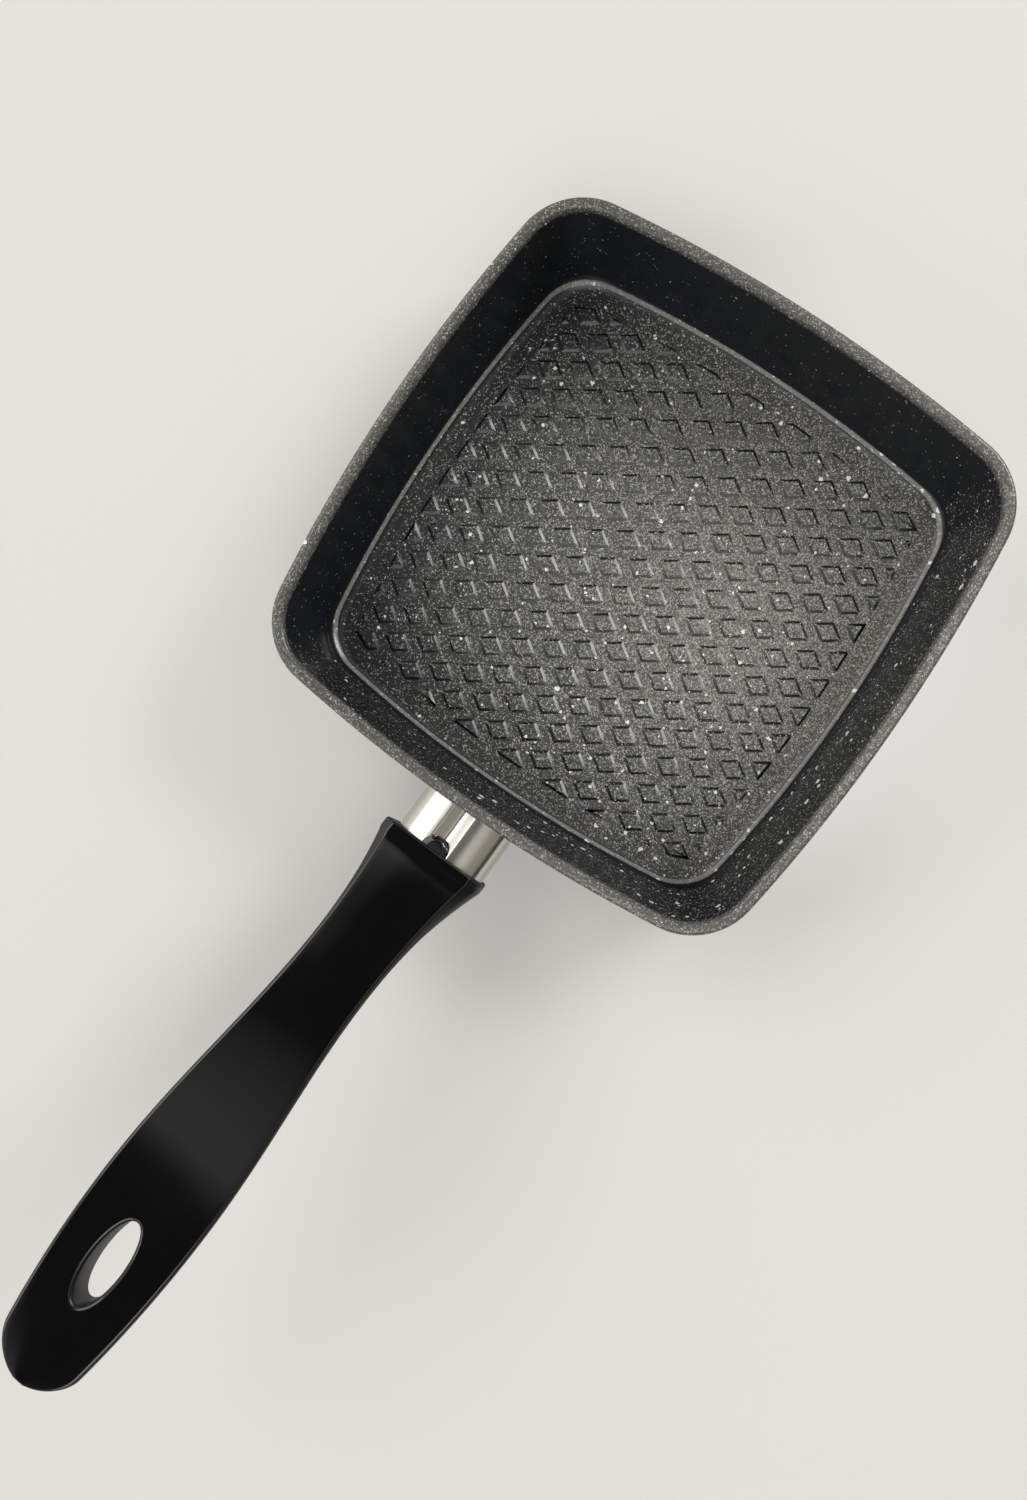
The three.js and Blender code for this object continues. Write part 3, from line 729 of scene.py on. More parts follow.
def boss_patch(settings, steps=64, bead_rows=7):
    """The boss: a round rod on the wall, with a weld bead that falls off as a square, and a hole for
    the screw in its end."""
    joint = settings.joint
    radius = joint.boss_diameter / 2
    hole = joint.screw_diameter / 2 + joint.shank_clearance
    angles = np.linspace(0, 2 * np.pi, steps, endpoint=False)
    rows = []
    for share in np.linspace(0, 1, bead_rows):
        spread = radius + joint.weld * (1 - share)**2
        x = spread * np.cos(angles)
        z = spread * np.sin(angles)
        along = wall_distance(settings, x, z) + joint.gap + joint.weld * share
        rows.append(np.stack([x, -along, z], axis=-1))
    foot = rows[0]
    rows.insert(0, np.broadcast_to(foot.mean(axis=0), foot.shape))
    end = joint.boss_length
    bottom = end - joint.thread_depth
    chamfer = 0.5 * MM
    for spread, along in (
        (radius, end - chamfer), (radius - chamfer, end), (hole + chamfer, end),
        (hole, end - chamfer), (hole, bottom), (0, bottom),
    ):
        rows.append(circle(spread, angles, along))
    return grid(np.array(rows))


# Handle

CORNERS = 8  # of a section
CROWN, BOTTOM = 2, 6  # the corners in the middle of its top and of its bottom
ARC_SHARE = 0.8  # of a unit of t, for a corner's arc
ARC_STEPS = 10
LINE_STEPS = 4
CORNER_COLUMNS = ARC_STEPS + LINE_STEPS
ROW_STEP = 1.5 * MM  # between sections
TAIL_ROWS = 14
TAIL_SWELL = 0.9 * MM  # of the end's flat part
HOLE_ROWS = 12  # to each side of the hang hole's middle
HOLE_COLUMNS = 9
HOLE_RINGS = 8
MOUTH_RINGS = 6  # round the driver bore's mouth
SOCKET_LIP = 0.3 * MM  # depth of the bevel round the socket
SOCKET_OPENING = np.array([1.02, 1, 1.02])  # how far that bevel opens the socket


class HandleForm:
    """The handle's outer surface in its own frame, as a function of the distance s along its middle
    line and of t round its section. The middle line is a parabola. The section has eight corners, and
    each unit of t is one corner's arc and the straight side after it."""

    def __init__(self, settings, path_points=2001):
        self.sizes = settings.handle
        self.socket_floor = settings.guard.reach + self.sizes.socket_depth
        front = math.tan(self.sizes.front_rise)
        tail = math.tan(self.sizes.tail_rise)
        bend = (self.sizes.lift - self.sizes.reach * tail) / (front - tail)
        t = np.linspace(0, 1, path_points)
        self.out = 2 * t * (1 - t) * bend + t**2 * self.sizes.reach
        self.up = 2 * t * (1 - t) * bend * front + t**2 * self.sizes.lift
        self.lean = np.arctan2(np.gradient(self.up), np.gradient(self.out))
        steps = np.hypot(np.diff(self.out), np.diff(self.up))
        self.along = np.concatenate([[0], np.cumsum(steps)])
        self.length = self.along[-1]
        self.round_start = self.length - self.sizes.tail_round
        self.last_turn = math.pi / 2 - self.sizes.tail_flat

    def station(self, s):
        """Where the middle line is, and how the section leans. Before the line starts, in the collar,
        the section moves straight along the screw axis."""
        out = np.interp(s, self.along, self.out) + np.minimum(s, 0)
        blend = self.sizes.socket_depth
        soften = np.maximum(blend - np.abs(s), 0)**2 / (4 * blend) * math.tan(self.sizes.front_rise)
        up = np.interp(s, self.along, self.up) + soften
        lean = np.interp(s, self.along, self.lean) * np.clip(s / self.sizes.square_run, 0, 1)
        return out, up, lean

    def section_sizes(self, s):
        """Width, thickness, inset, shoulder and keel: the front flare falls off as a square to the
        neck, the neck eases as a cosine into the grip, and the grip narrows as a square."""
        front, neck, grip, tail = (
            np.array(values) for values in
            (self.sizes.front, self.sizes.neck, self.sizes.grip, self.sizes.tail)
        )
        s = s[:, None]
        flare = np.clip(1 - s / neck[0], 0, 1)**2
        ease = (1 - np.cos(np.pi * np.clip((s - neck[0]) / (grip[0] - neck[0]), 0, 1))) / 2
        narrowing = np.maximum((s - grip[0]) / (tail[0] - grip[0]), 0)**2
        mixed = neck + (front - neck) * flare + (grip - neck) * ease + (tail - grip) * narrowing
        return mixed[:, 1:].T

    def corners(self, s):
        """The section's corners, from the right shoulder over the top to the right keel."""
        width, thickness, step_in, shoulder, keel = self.section_sizes(s)
        turn = np.clip((s - self.round_start) / self.sizes.tail_round, 0, 1) * math.sin(self.last_turn)
        narrow = np.sqrt(1 - turn**2)
        thin = 1 - self.sizes.tail_thinning * (1 - narrow)
        wide = width / 2
        top = thickness / 2 * thin
        level = top - shoulder * thin
        zero = np.zeros_like(s)
        x = np.stack([wide, wide - step_in, zero, step_in - wide, -wide, keel - wide, zero, wide - keel])
        edge = top + self.sizes.crown * (1 - narrow)
        y = np.stack([level, edge, top + self.sizes.crown, edge, level, -top, -top, -top])
        return np.stack([x * narrow, y], axis=-1).transpose(1, 0, 2)

    def arcs(self, corners):
        """Where each corner's arc starts and ends. The crown's and the bottom's take half their sides."""
        sizes = self.sizes
        no_limit = 1
        rounds = np.array([
            sizes.shoulder_round, sizes.edge_round, no_limit, sizes.edge_round,
            sizes.shoulder_round, sizes.keel_round, no_limit, sizes.keel_round,
        ])
        shares = np.full(CORNERS, ROUND_SHARE)
        shares[[CROWN, BOTTOM]] = 0.5
        before = np.roll(corners, 1, axis=1) - corners
        after = np.roll(corners, -1, axis=1) - corners
        before_length = np.linalg.norm(before, axis=2)
        after_length = np.linalg.norm(after, axis=2)
        cosine = (before * after).sum(axis=2) / (before_length * after_length)
        half = np.arccos(np.clip(cosine, -1, 1)) / 2
        reach = rounds / np.maximum(np.tan(half), 1e-9)
        reach[:, [CROWN, BOTTOM]] = no_limit
        trim = np.minimum.reduce([reach, shares * before_length, shares * after_length])
        start = corners + before * (trim / before_length)[..., None]
        end = corners + after * (trim / after_length)[..., None]
        return start, end

    def point(self, s, t):
        """Points of the surface at s and t."""
        which = np.floor(t).astype(int) % CORNERS
        share = t - np.floor(t)
        corners = self.corners(s)
        start, end = self.arcs(corners)
        row = np.arange(len(s))
        bend = np.minimum(share / ARC_SHARE, 1)[:, None]
        line = np.maximum((share - ARC_SHARE) / (1 - ARC_SHARE), 0)[:, None]
        first, middle, last = start[row, which], corners[row, which], end[row, which]
        arc = (1 - bend)**2 * first + 2 * bend * (1 - bend) * middle + bend**2 * last
        flat = arc + line * (start[row, (which + 1) % CORNERS] - last)
        out, up, lean = self.station(s)
        return np.stack([
            flat[:, 0],
            -self.socket_floor - out + flat[:, 1] * np.sin(lean),
            up + flat[:, 1] * np.cos(lean),
        ], axis=-1)

    def surface(self, st):
        """Points at an array of s and t pairs."""
        pairs = st.reshape(-1, 2)
        return self.point(pairs[:, 0], pairs[:, 1]).reshape(*st.shape[:-1], 3)

    def meet(self, st, axes, origin, target, tries=25):
        """Where the surface, seen along a cutter, meets the cutter's outline. Newton's steps on s and t,
        with slopes from small differences."""
        nudges = np.array([[0.05 * MM, 0], [0, 0.001]])
        longest = np.array([2 * MM, 0.2])
        for _ in range(tries):
            here = (self.surface(st) - origin) @ axes
            slopes = np.stack([
                ((self.surface(st + nudge) - origin) @ axes - here) / nudge.sum() for nudge in nudges
            ], axis=-1)
            step = np.linalg.solve(slopes, (target - here)[..., None])[..., 0]
            st = st + np.clip(step, -longest, longest)
        return st


def block_loop(rows, columns):
    """Rows and columns of the grid points round a block, in order from its first corner."""
    along = np.arange(*rows)
    across = np.arange(*columns)
    first_row, last_row = (np.full(len(across), row) for row in rows)
    first_column, last_column = (np.full(len(along), column) for column in columns)
    loop_rows = np.concatenate([first_row, along, last_row, along[::-1] + 1])
    loop_columns = np.concatenate([across, last_column, across[::-1] + 1, first_column])
    return loop_rows, loop_columns


def loop_angles(loop, rows, columns):
    """The angle at which each point of a block's loop is seen from its middle, with the block drawn
    as a square."""
    across = 2 * (loop[1] - columns[0]) / (columns[1] - columns[0]) - 1
    along = 2 * (loop[0] - rows[0]) / (rows[1] - rows[0]) - 1
    return np.arctan2(along, across)


def between(first, last, steps):
    """Arrays evenly spaced from first, which is included, up to last, which isn't."""
    share = np.linspace(0, 1, steps, endpoint=False).reshape(-1, *[1] * first.ndim)
    return first + share * (last - first)


def middle_block(corner, half):
    """First and last column of a block of the handle's grid, half columns wide to each side of a corner."""
    middle = corner * CORNER_COLUMNS + ARC_STEPS // 2
    return middle - half, middle + half


def nearest_row(st, distance):
    """The row of the handle's grid that is nearest to a distance along the middle line."""
    return int(np.argmin(np.abs(st[:, 0, 0] - distance)))


def hang_hole_patch(form, st, kept, edge_rows=7):
    """The hang hole, for which two blocks of the handle's grid are opened: rings that close in on an
    oval on the top, a quarter round, the wall, and the same on the bottom in reverse. The oval's edge
    is where the surface meets it, seen square to the middle line."""
    sizes = form.sizes
    half_width = sizes.hole_width / 2
    half_length = sizes.hole_length / 2
    middle = nearest_row(st, sizes.hole_reach)
    rows = (middle - HOLE_ROWS, middle + HOLE_ROWS)
    out, up, lean = (float(value[0]) for value in form.station(np.array([sizes.hole_reach])))
    origin = np.array([0, -form.socket_floor - out, up])
    ahead = np.array([0, -math.cos(lean), math.sin(lean)])
    above = np.array([0, math.sin(lean), math.cos(lean)])
    axes = np.stack([np.array([1, 0, 0]), ahead], axis=1)
    faces = []
    for corner, sign in ((CROWN, -1), (BOTTOM, 1)):
        block = middle_block(corner, HOLE_COLUMNS)
        kept[rows[0]:rows[1], block[0]:block[1]] = False
        loop = block_loop(rows, block)
        angles = loop_angles(loop, rows, block)
        x = sign * np.cos(angles)
        y = np.sin(angles)
        wide = (half_width + sizes.hole_round) * x
        long = (half_length + sizes.hole_round) * y
        guess_t = corner + ARC_SHARE / 2 + 0.3 * sign * x
        guess = np.stack([sizes.hole_reach + long, guess_t], axis=-1)
        edge = form.meet(guess, axes, origin, np.stack([wide, long], axis=-1))
        faces.append((st[loop], edge, x, y))
    (top_loop, top_edge, x, y), (bottom_loop, bottom_edge, bottom_x, bottom_y) = faces
    below = np.argmin(np.hypot(bottom_x - x[:, None], bottom_y - y[:, None]), axis=1)
    bottom_loop = bottom_loop[below]
    bottom_edge = bottom_edge[below]
    top_level = (form.surface(top_edge) - origin) @ above
    bottom_level = (form.surface(bottom_edge) - origin) @ above
    quarter = np.linspace(0, np.pi / 2, edge_rows)[:, None]
    spread = sizes.hole_round * (1 - np.sin(quarter))
    sink = sizes.hole_round * (1 - np.cos(quarter))
    spread = np.concatenate([spread, spread[::-1]])
    level = np.concatenate([top_level - sink, bottom_level + sink[::-1]])
    wall = (
        origin
        + ((half_width + spread) * x)[..., None] * axes[:, 0]
        + ((half_length + spread) * y)[..., None] * axes[:, 1]
        + level[..., None] * above
    )
    top_rings = form.surface(between(top_loop, top_edge, HOLE_RINGS))
    bottom_rings = form.surface(between(bottom_loop, bottom_edge, HOLE_RINGS))[::-1]
    return grid(np.concatenate([top_rings, wall, bottom_rings]))


def bore_patch(settings, form, st, kept, round_rows=5):
    """One run of rings from the driver bore's mouth, for which a block under the neck is opened,
    through the bore, the screw's seat, the web and the socket to a quarter round at the front of the
    handle. The block has as many points round it as the front."""
    sizes = settings.handle
    joint = settings.joint
    guard = settings.guard
    columns = st.shape[1]
    block = middle_block(BOTTOM, CORNER_COLUMNS)
    first = nearest_row(st, 0)
    rows = (first, first + columns // 2 - 2 * CORNER_COLUMNS)
    kept[rows[0]:rows[1], block[0]:block[1]] = False
    loop = block_loop(rows, block)
    angles = loop_angles(loop, rows, block)
    radius = sizes.driver_bore / 2
    target = radius * np.stack([np.cos(angles), np.sin(angles)], axis=-1)
    axes = np.array([[1, 0], [0, 0], [0, 1]])
    mouth_middle = 21 * MM
    mouth_reach = 9 * MM
    guess_s = mouth_middle + mouth_reach * np.sin(angles)
    guess_t = BOTTOM + ARC_SHARE / 2 + 0.5 * np.cos(angles)
    mouth = form.meet(np.stack([guess_s, guess_t], axis=-1), axes, np.zeros(3), target)
    front = form.surface(st[0])
    guard_angles = np.arctan2(front[:, 2] / guard.height, (front[:, 0] - guard.offset) / guard.width)
    start = int(np.argmin(np.abs(np.exp(1j * angles) - np.exp(1j * guard_angles[0]))))
    roll = np.roll(np.arange(columns), -start)
    angles = angles[roll]
    mouth_rings = form.surface(between(st[loop], mouth, MOUTH_RINGS))[:, roll]
    seat = axis_places(settings)[0]
    shank = joint.screw_diameter / 2 + joint.shank_clearance
    x, z = guard_outline(guard, joint.gap, guard_angles)
    socket = np.stack([x, np.zeros(columns), z], axis=-1)
    face = guard.reach
    quarter = np.linspace(np.pi / 2, 0, round_rows, endpoint=False)[:, None, None]
    step_in = sizes.front_round * (1 - np.cos(quarter))
    step_back = sizes.front_round * (1 - np.sin(quarter))
    spokes = front * [1, 0, 1]
    size = np.linalg.norm(spokes, axis=1)[:, None]
    rounds = spokes * (1 - step_in / size) - (face + step_back) * [0, 1, 0]
    return grid(np.array([
        *mouth_rings,
        form.surface(mouth)[roll],
        circle(radius, angles, seat),
        circle(shank, angles, seat),
        circle(shank, guard_angles, form.socket_floor),
        socket - [0, form.socket_floor, 0],
        socket - [0, face + SOCKET_LIP, 0],
        socket * SOCKET_OPENING - [0, face, 0],
        *rounds,
        front,
    ]))


def tail_patch(form, ring, rows=8):
    """The end of the tail: the handle's last ring drawn in to its middle over half an ellipse."""
    middle = ring.mean(axis=0)
    outward = np.array([0, -math.cos(form.lean[-1]), math.sin(form.lean[-1])])
    share = np.linspace(1, 0, rows)[:, None, None]
    return grid(middle + (ring - middle) * share + TAIL_SWELL * np.sqrt(1 - share**2) * outward)


def handle_patches(settings):
    """The handle: its surface on a grid of s and t, in which blocks are opened for the hang hole and
    the driver bore, with these two and the end of the tail."""
    form = HandleForm(settings)
    sizes = settings.handle
    unit = np.concatenate([
        np.linspace(0, ARC_SHARE, ARC_STEPS, endpoint=False),
        np.linspace(ARC_SHARE, 1, LINE_STEPS, endpoint=False),
    ])
    t = (np.arange(CORNERS)[:, None] + unit).ravel()
    collar = sizes.front_round - sizes.socket_depth
    straight = np.arange(0, form.round_start, ROW_STEP)
    turns = np.sin(np.linspace(0, form.last_turn, TAIL_ROWS)) / math.sin(form.last_turn)
    s = np.concatenate([[collar], straight, form.round_start + sizes.tail_round * turns])
    st = np.stack(np.meshgrid(s, t, indexing="ij"), axis=-1)
    points, cells = grid(form.surface(st))
    cells = cells.reshape(len(s) - 1, len(t), 4)
    kept = np.ones(cells.shape[:2], bool)
    hole = hang_hole_patch(form, st, kept)
    bore = bore_patch(settings, form, st, kept)
    return [(points, cells[kept]), hole, bore, tail_patch(form, form.surface(st[-1]))]


def key_patches(settings, arc_steps=51, across_steps=9, round_rows=8):
    """The key: a round-nosed tongue whose top edge is a quarter round. Its underside follows the
    guard's top at the seat gap, and its edge is never thinner than a lip."""
    sizes = settings.handle
    guard = settings.guard
    lip = 0.25 * MM
    half = sizes.key_width / 2
    nose = guard.reach - sizes.key_reach + half
    tail = guard.reach + sizes.key_root
    top = sizes.front[2] / 2 - sizes.key_drop
    arc = half * np.exp(1j * np.linspace(0, np.pi, arc_steps))
    back = np.linspace(half, -half, across_steps) - 1j * (tail - nose)
    outline = np.concatenate([back[:1], arc, back[:0:-1]])
    quarter = np.linspace(0, np.pi / 2, round_rows)
    steps = np.concatenate([[0], sizes.key_round * (1 - np.cos(quarter))])[:, None]
    heights = np.concatenate([[0], top - sizes.key_round * (1 - np.sin(quarter))])[:, None]
    lips = lip * np.linspace(0, 1, len(steps))[:, None]
    share = 1 - steps / half
    x = outline.real * share
    y = np.where(outline.imag > 0, outline.imag * share, outline.imag) - nose
    z = np.maximum(heights, guard_top(guard, settings.joint.gap, outline.real) + lips)
    rings = np.stack([x, np.broadcast_to(y, x.shape), z], axis=-1)
    right = np.concatenate([back[:1], arc[:arc_steps // 2 + 1]])
    under_x = right.real[:, None] * np.linspace(1, -1, across_steps)
    under_y = np.broadcast_to(right.imag[:, None] - nose, under_x.shape)
    under_z = guard_top(guard, settings.joint.gap, under_x)
    under = np.stack([under_x, under_y, under_z], axis=-1)
    return [grid(rings), closed(rings[-1]), grid(under, wrap_columns=False)]


# Finishes

FACTOR, FIRST, SECOND = 0, 6, 7  # sockets of a Mix node that mixes colours
RIM_BAND = 2.6 * MM  # from the top of the rim down to where its smoother coat ends


def add_node(tree, kind, settings):
    """Adds a node to a tree. A setting is a property of the node, or it goes to one of its sockets as
    a value or as a link from another socket or node. A node stands for its first output in use."""
    node = tree.nodes.new("ShaderNode" + kind)
    for key, value in settings.items():
        if isinstance(key, str) and hasattr(node, key):
            setattr(node, key, value)
        elif isinstance(value, bpy.types.Node):
            output = next(socket for socket in value.outputs if socket.enabled)
            tree.links.new(output, node.inputs[key])
        elif isinstance(value, bpy.types.NodeSocket):
            tree.links.new(value, node.inputs[key])
        else:
            node.inputs[key].default_value = value
    return node


def new_finish(name):
    """An empty material, the function that adds nodes to it, and the place on the piece."""
    finish = bpy.data.materials.new(name)
    finish.use_nodes = True
    finish.node_tree.nodes.clear()
    node = partial(add_node, finish.node_tree)
    return finish, node, node("TexCoord", {}).outputs["Object"]


def rgba(tint, share=1):
    """A colour, or a lighter or darker share of it, with an alpha of one."""
    return (*(share * channel for channel in tint), 1)


def coat_spread(node, pan, place, facing, height):
    """How far the floor turns to its grey, which is partly pale grains and partly a painted sheen that
    is brightest round a spot right of the middle and fades to painted shade towards the walls and on
    the lozenges' slopes; how far the rim turns to its own smoother grey, and a line at the wall's foot
    to a painted highlight of that grey; and how thickly the grains lie, which on the inner walls
    follows painted light and shade; each from 0 to 1."""
    spot_x = 31 * MM
    spot_y = 6 * MM
    # the side the light comes from: inner walls that face it get painted light
    towards_light = (-0.85, 0.5, 0)
    upward = node("SeparateXYZ", {"Vector": facing}).outputs["Z"]

    # On the floor, grains and a painted sheen, thickest round a spot on the right and fading to
    # # painted shade towards the walls; next to nothing on the lozenges' slopes, left as painted shade
    from_spot = node("VectorMath", {
        "operation": "MULTIPLY_ADD", 0: place, 1: (1, 1, 0), 2: (-spot_x, -spot_y, 0),
    })
    away = node("VectorMath", {"operation": "LENGTH", 0: from_spot})
    near = node("MapRange", {
        "Value": away, "From Min": 15 * MM, "From Max": 110 * MM, "To Min": 1, "To Max": 0.12,
    })
    level = node("MapRange", {
        "interpolation_type": "SMOOTHSTEP", "Value": upward, "From Min": 0.84, "From Max": 0.99,
    })
    floor = node("Math", {"operation": "MULTIPLY", 0: near, 1: level})

    # On the walls, evenly outside; inside, painted light where they look towards the light, and
    # # painted shade where they look away
    facing_light = node("VectorMath", {"operation": "DOT_PRODUCT", 0: facing, 1: towards_light})
    inner = node("MapRange", {
        "Value": facing_light, "From Min": -0.3, "From Max": 0.7, "To Min": 0.01, "To Max": 0.15,
    })
    outward = node("VectorMath", {"operation": "DOT_PRODUCT", 0: facing, 1: place})
    outer = node("MapRange", {"Value": outward, "From Max": 10 * MM, "To Max": 0.15})
    side = node("Math", {"operation": "MAXIMUM", 0: inner, 1: outer})
    steep = node("MapRange", {"Value": upward, "From Min": 0.5, "From Max": 0.3})
    wall = node("Math", {"operation": "MULTIPLY", 0: side, 1: steep})

    # On the rim, the coat's own smoother grey, and along a narrow line in the fillet at the foot of the
    # # wall, a painted highlight of the same grey
    rim = node("MapRange", {
        "interpolation_type": "SMOOTHSTEP",
        "Value": height,
        "From Min": pan.height - RIM_BAND,
        "From Max": pan.height - 1.2 * MM,
        "To Max": 0.42,
    })
    # the line at the foot of the wall: a painted highlight
    hollow_highlight = node("Math", {"operation": "GREATER_THAN", 0: upward, 1: 0.3})
    for clear, full in ((0.8 * MM, 1 * MM), (1.9 * MM, 1.5 * MM)):
        line = node("MapRange", {
            "interpolation_type": "SMOOTHSTEP",
            "Value": height,
            "From Min": pan.floor + clear,
            "From Max": pan.floor + full,
        })
        hollow_highlight = node("Math", {"operation": "MULTIPLY", 0: hollow_highlight, 1: line})
    edge = node("Math", {"operation": "MAXIMUM", 0: rim, 1: hollow_highlight})
    # how thickly the grains lie, with the floor's painted sheen and the inner walls' painted light and
    # shade in it
    grains_and_painted_light = node("Math", {"operation": "MAXIMUM", 0: floor, 1: wall})
    for part, share in ((rim, 0.8), (hollow_highlight, 0.3)):
        thin = node("Math", {"operation": "MULTIPLY", 0: part, 1: share})
        grains_and_painted_light = node("Math", {"operation": "MAXIMUM", 0: grains_and_painted_light, 1: thin})
    return floor, edge, grains_and_painted_light


def fine_grains(node, place, grains_and_painted_light):
    """Fine grains in two sizes: cells of which a share is drawn, each more or less pale by chance."""
    pepper_size = 0.4 * MM
    dust_size = 0.24 * MM
    grains = []
    for size, share in ((pepper_size, 0.29), (dust_size, 0.33)):
        cell = node("TexVoronoi", {"Vector": place, "Scale": 1 / size})
        chance = node("SeparateColor", {"Color": cell.outputs["Color"]})
        # more grains are drawn where the painted sheen and painted light lie
        limit = node("Math", {"operation": "MULTIPLY", 0: grains_and_painted_light, 1: share})
        drawn = node("Math", {"operation": "LESS_THAN", 0: chance.outputs["Red"], 1: limit})
        pale = node("MapRange", {"Value": chance.outputs["Green"], "To Min": 0.08, "To Max": 0.86})
        grains.append(node("Math", {"operation": "MULTIPLY", 0: drawn, 1: pale}))
    return node("Math", {"operation": "MAXIMUM", 0: grains[0], 1: grains[1]})


def large_flecks(node, pan, place, height, grains_and_painted_light):
    """Flecks and specks: spots of chance sizes with ragged outlines, in loose clusters, of which there
    are few on the rim and none where no grains lie."""
    fleck_size = 3.2 * MM
    speck_size = 1.7 * MM
    ragged_size = 0.9 * MM
    ragged_depth = 1.1 * MM
    cluster_size = 24 * MM
    ragged = node("TexNoise", {"Vector": place, "Scale": 1 / ragged_size, "Detail": 2})
    bent = node("VectorMath", {
        "operation": "MULTIPLY_ADD", 0: ragged.outputs["Color"], 1: (ragged_depth,) * 3, 2: place,
    })
    cluster = node("TexNoise", {"Vector": place, "Scale": 1 / cluster_size, "Detail": 2})
    density = node("MapRange", {
        "Value": cluster, "From Min": 0.4, "From Max": 0.65, "To Min": 0.14, "To Max": 0.75,
    })
    # no flecks where no grains lie, so few on inner walls left in painted shade
    covered = node("MapRange", {"Value": grains_and_painted_light, "From Min": 0.02, "From Max": 0.17})
    below_rim = node("MapRange", {
        "Value": height,
        "From Min": pan.height - RIM_BAND,
        "From Max": pan.height - 1.6 * MM,
        "To Min": 1,
        "To Max": 0.15,
    })
    limit = node("Math", {"operation": "MULTIPLY", 0: density, 1: covered})
    limit = node("Math", {"operation": "MULTIPLY", 0: limit, 1: below_rim})
    flecks = []
    for size, smallest, largest in ((fleck_size, 0.07, 0.29), (speck_size, 0.08, 0.2)):
        cell = node("TexVoronoi", {"Vector": bent, "Scale": 1 / size})
        chance = node("SeparateColor", {"Color": cell.outputs["Color"]})
        drawn = node("Math", {"operation": "LESS_THAN", 0: chance.outputs["Red"], 1: limit})
        reach = node("MapRange", {"Value": chance.outputs["Blue"], "To Min": smallest, "To Max": largest})
        close = node("Math", {"operation": "LESS_THAN", 0: cell.outputs["Distance"], 1: reach})
        flecks.append(node("Math", {"operation": "MULTIPLY", 0: drawn, 1: close}))
    return node("Math", {"operation": "MAXIMUM", 0: flecks[0], 1: flecks[1]})


def speckled_coating(pan, colours):
    """A fluoropolymer coat, applied by spray over cast aluminium with mineral grains in it and cured: a
    near black satin ground that fine pale grains turn grey, with a few white flecks in loose clusters.
    On the floor the grains are joined by a painted sheen, brightest right of its middle and fading to
    painted shade towards the walls. The rim is the coat's own smoother grey, and a line at the foot of
    the wall is a painted highlight of the same grey. The lozenges' slopes stay dark as painted shade,
    and so do inner walls that face away from the light, while those that face it get painted light."""
    peel_size = 0.8 * MM
    finish, node, place = new_finish("speckled_coating")
    facing = node("NewGeometry", {}).outputs["Normal"]
    height = node("SeparateXYZ", {"Vector": place}).outputs["Z"]
    floor, edge, grains_and_painted_light = coat_spread(node, pan, place, facing, height)
    pepper = fine_grains(node, place, grains_and_painted_light)
    fleck = large_flecks(node, pan, place, height, grains_and_painted_light)
    # the floor's grey: grains with a painted sheen that fades to painted shade
    tone = node("Mix", {
        "data_type": "RGBA", FACTOR: floor, FIRST: rgba(colours.coat), SECOND: rgba(colours.haze_and_sheen),
    })
    # the edge grey is the rim's own colour and a painted highlight at the wall's foot
    for share, tint in ((edge, colours.edge), (pepper, colours.pepper), (fleck, colours.fleck)):
        tone = node("Mix", {"data_type": "RGBA", FACTOR: share, FIRST: tone, SECOND: rgba(tint)})
    peel = node("TexNoise", {"Vector": place, "Scale": 1 / peel_size, "Detail": 3})
    bump = node("Bump", {"Height": peel, "Strength": 0.24, "Distance": 0.05 * MM})
    rough = node("MapRange", {"Value": peel, "To Min": 0.17, "To Max": 0.27})
    shader = node("BsdfPrincipled", {
        "Base Color": tone, "Roughness": rough, "Normal": bump, "IOR": 1.45,
    })
    node("OutputMaterial", {"Surface": shader})
    return finish


def moulded_phenolic(colours):
    """Phenolic resin, pressed in a mould that is polished but for its steep sides: deep black, with a
    clear gloss on top that is slightly uneven where the filler shows, and duller sides."""
    mottle_size = 9 * MM
    filler_size = 0.5 * MM  # real filler is too fine to show, so it is drawn coarser
    finish, node, place = new_finish("moulded_phenolic")
    facing = node("NewGeometry", {}).outputs["Normal"]
    upward = node("SeparateXYZ", {"Vector": facing}).outputs["Z"]
    mottle = node("TexNoise", {"Vector": place, "Scale": 1 / mottle_size, "Detail": 4})
    filler = node("TexNoise", {"Vector": place, "Scale": 1 / filler_size, "Detail": 2})
    tone = node("Mix", {
        "data_type": "RGBA",
        FACTOR: mottle,
        FIRST: rgba(colours.phenolic),
        SECOND: rgba(colours.phenolic, 1.6),
    })
    gloss = node("MapRange", {"Value": mottle, "To Min": 0.05, "To Max": 0.1})
    rough = node("MapRange", {
        "Value": upward, "From Min": 0.85, "From Max": 0.5, "To Min": gloss, "To Max": 0.55,
    })
    bump = node("Bump", {"Height": filler, "Strength": 0.08, "Distance": 0.02 * MM})
    shader = node("BsdfPrincipled", {
        "Base Color": tone, "Roughness": rough, "Normal": bump, "IOR": 1.55,
    })
    node("OutputMaterial", {"Surface": shader})
    return finish


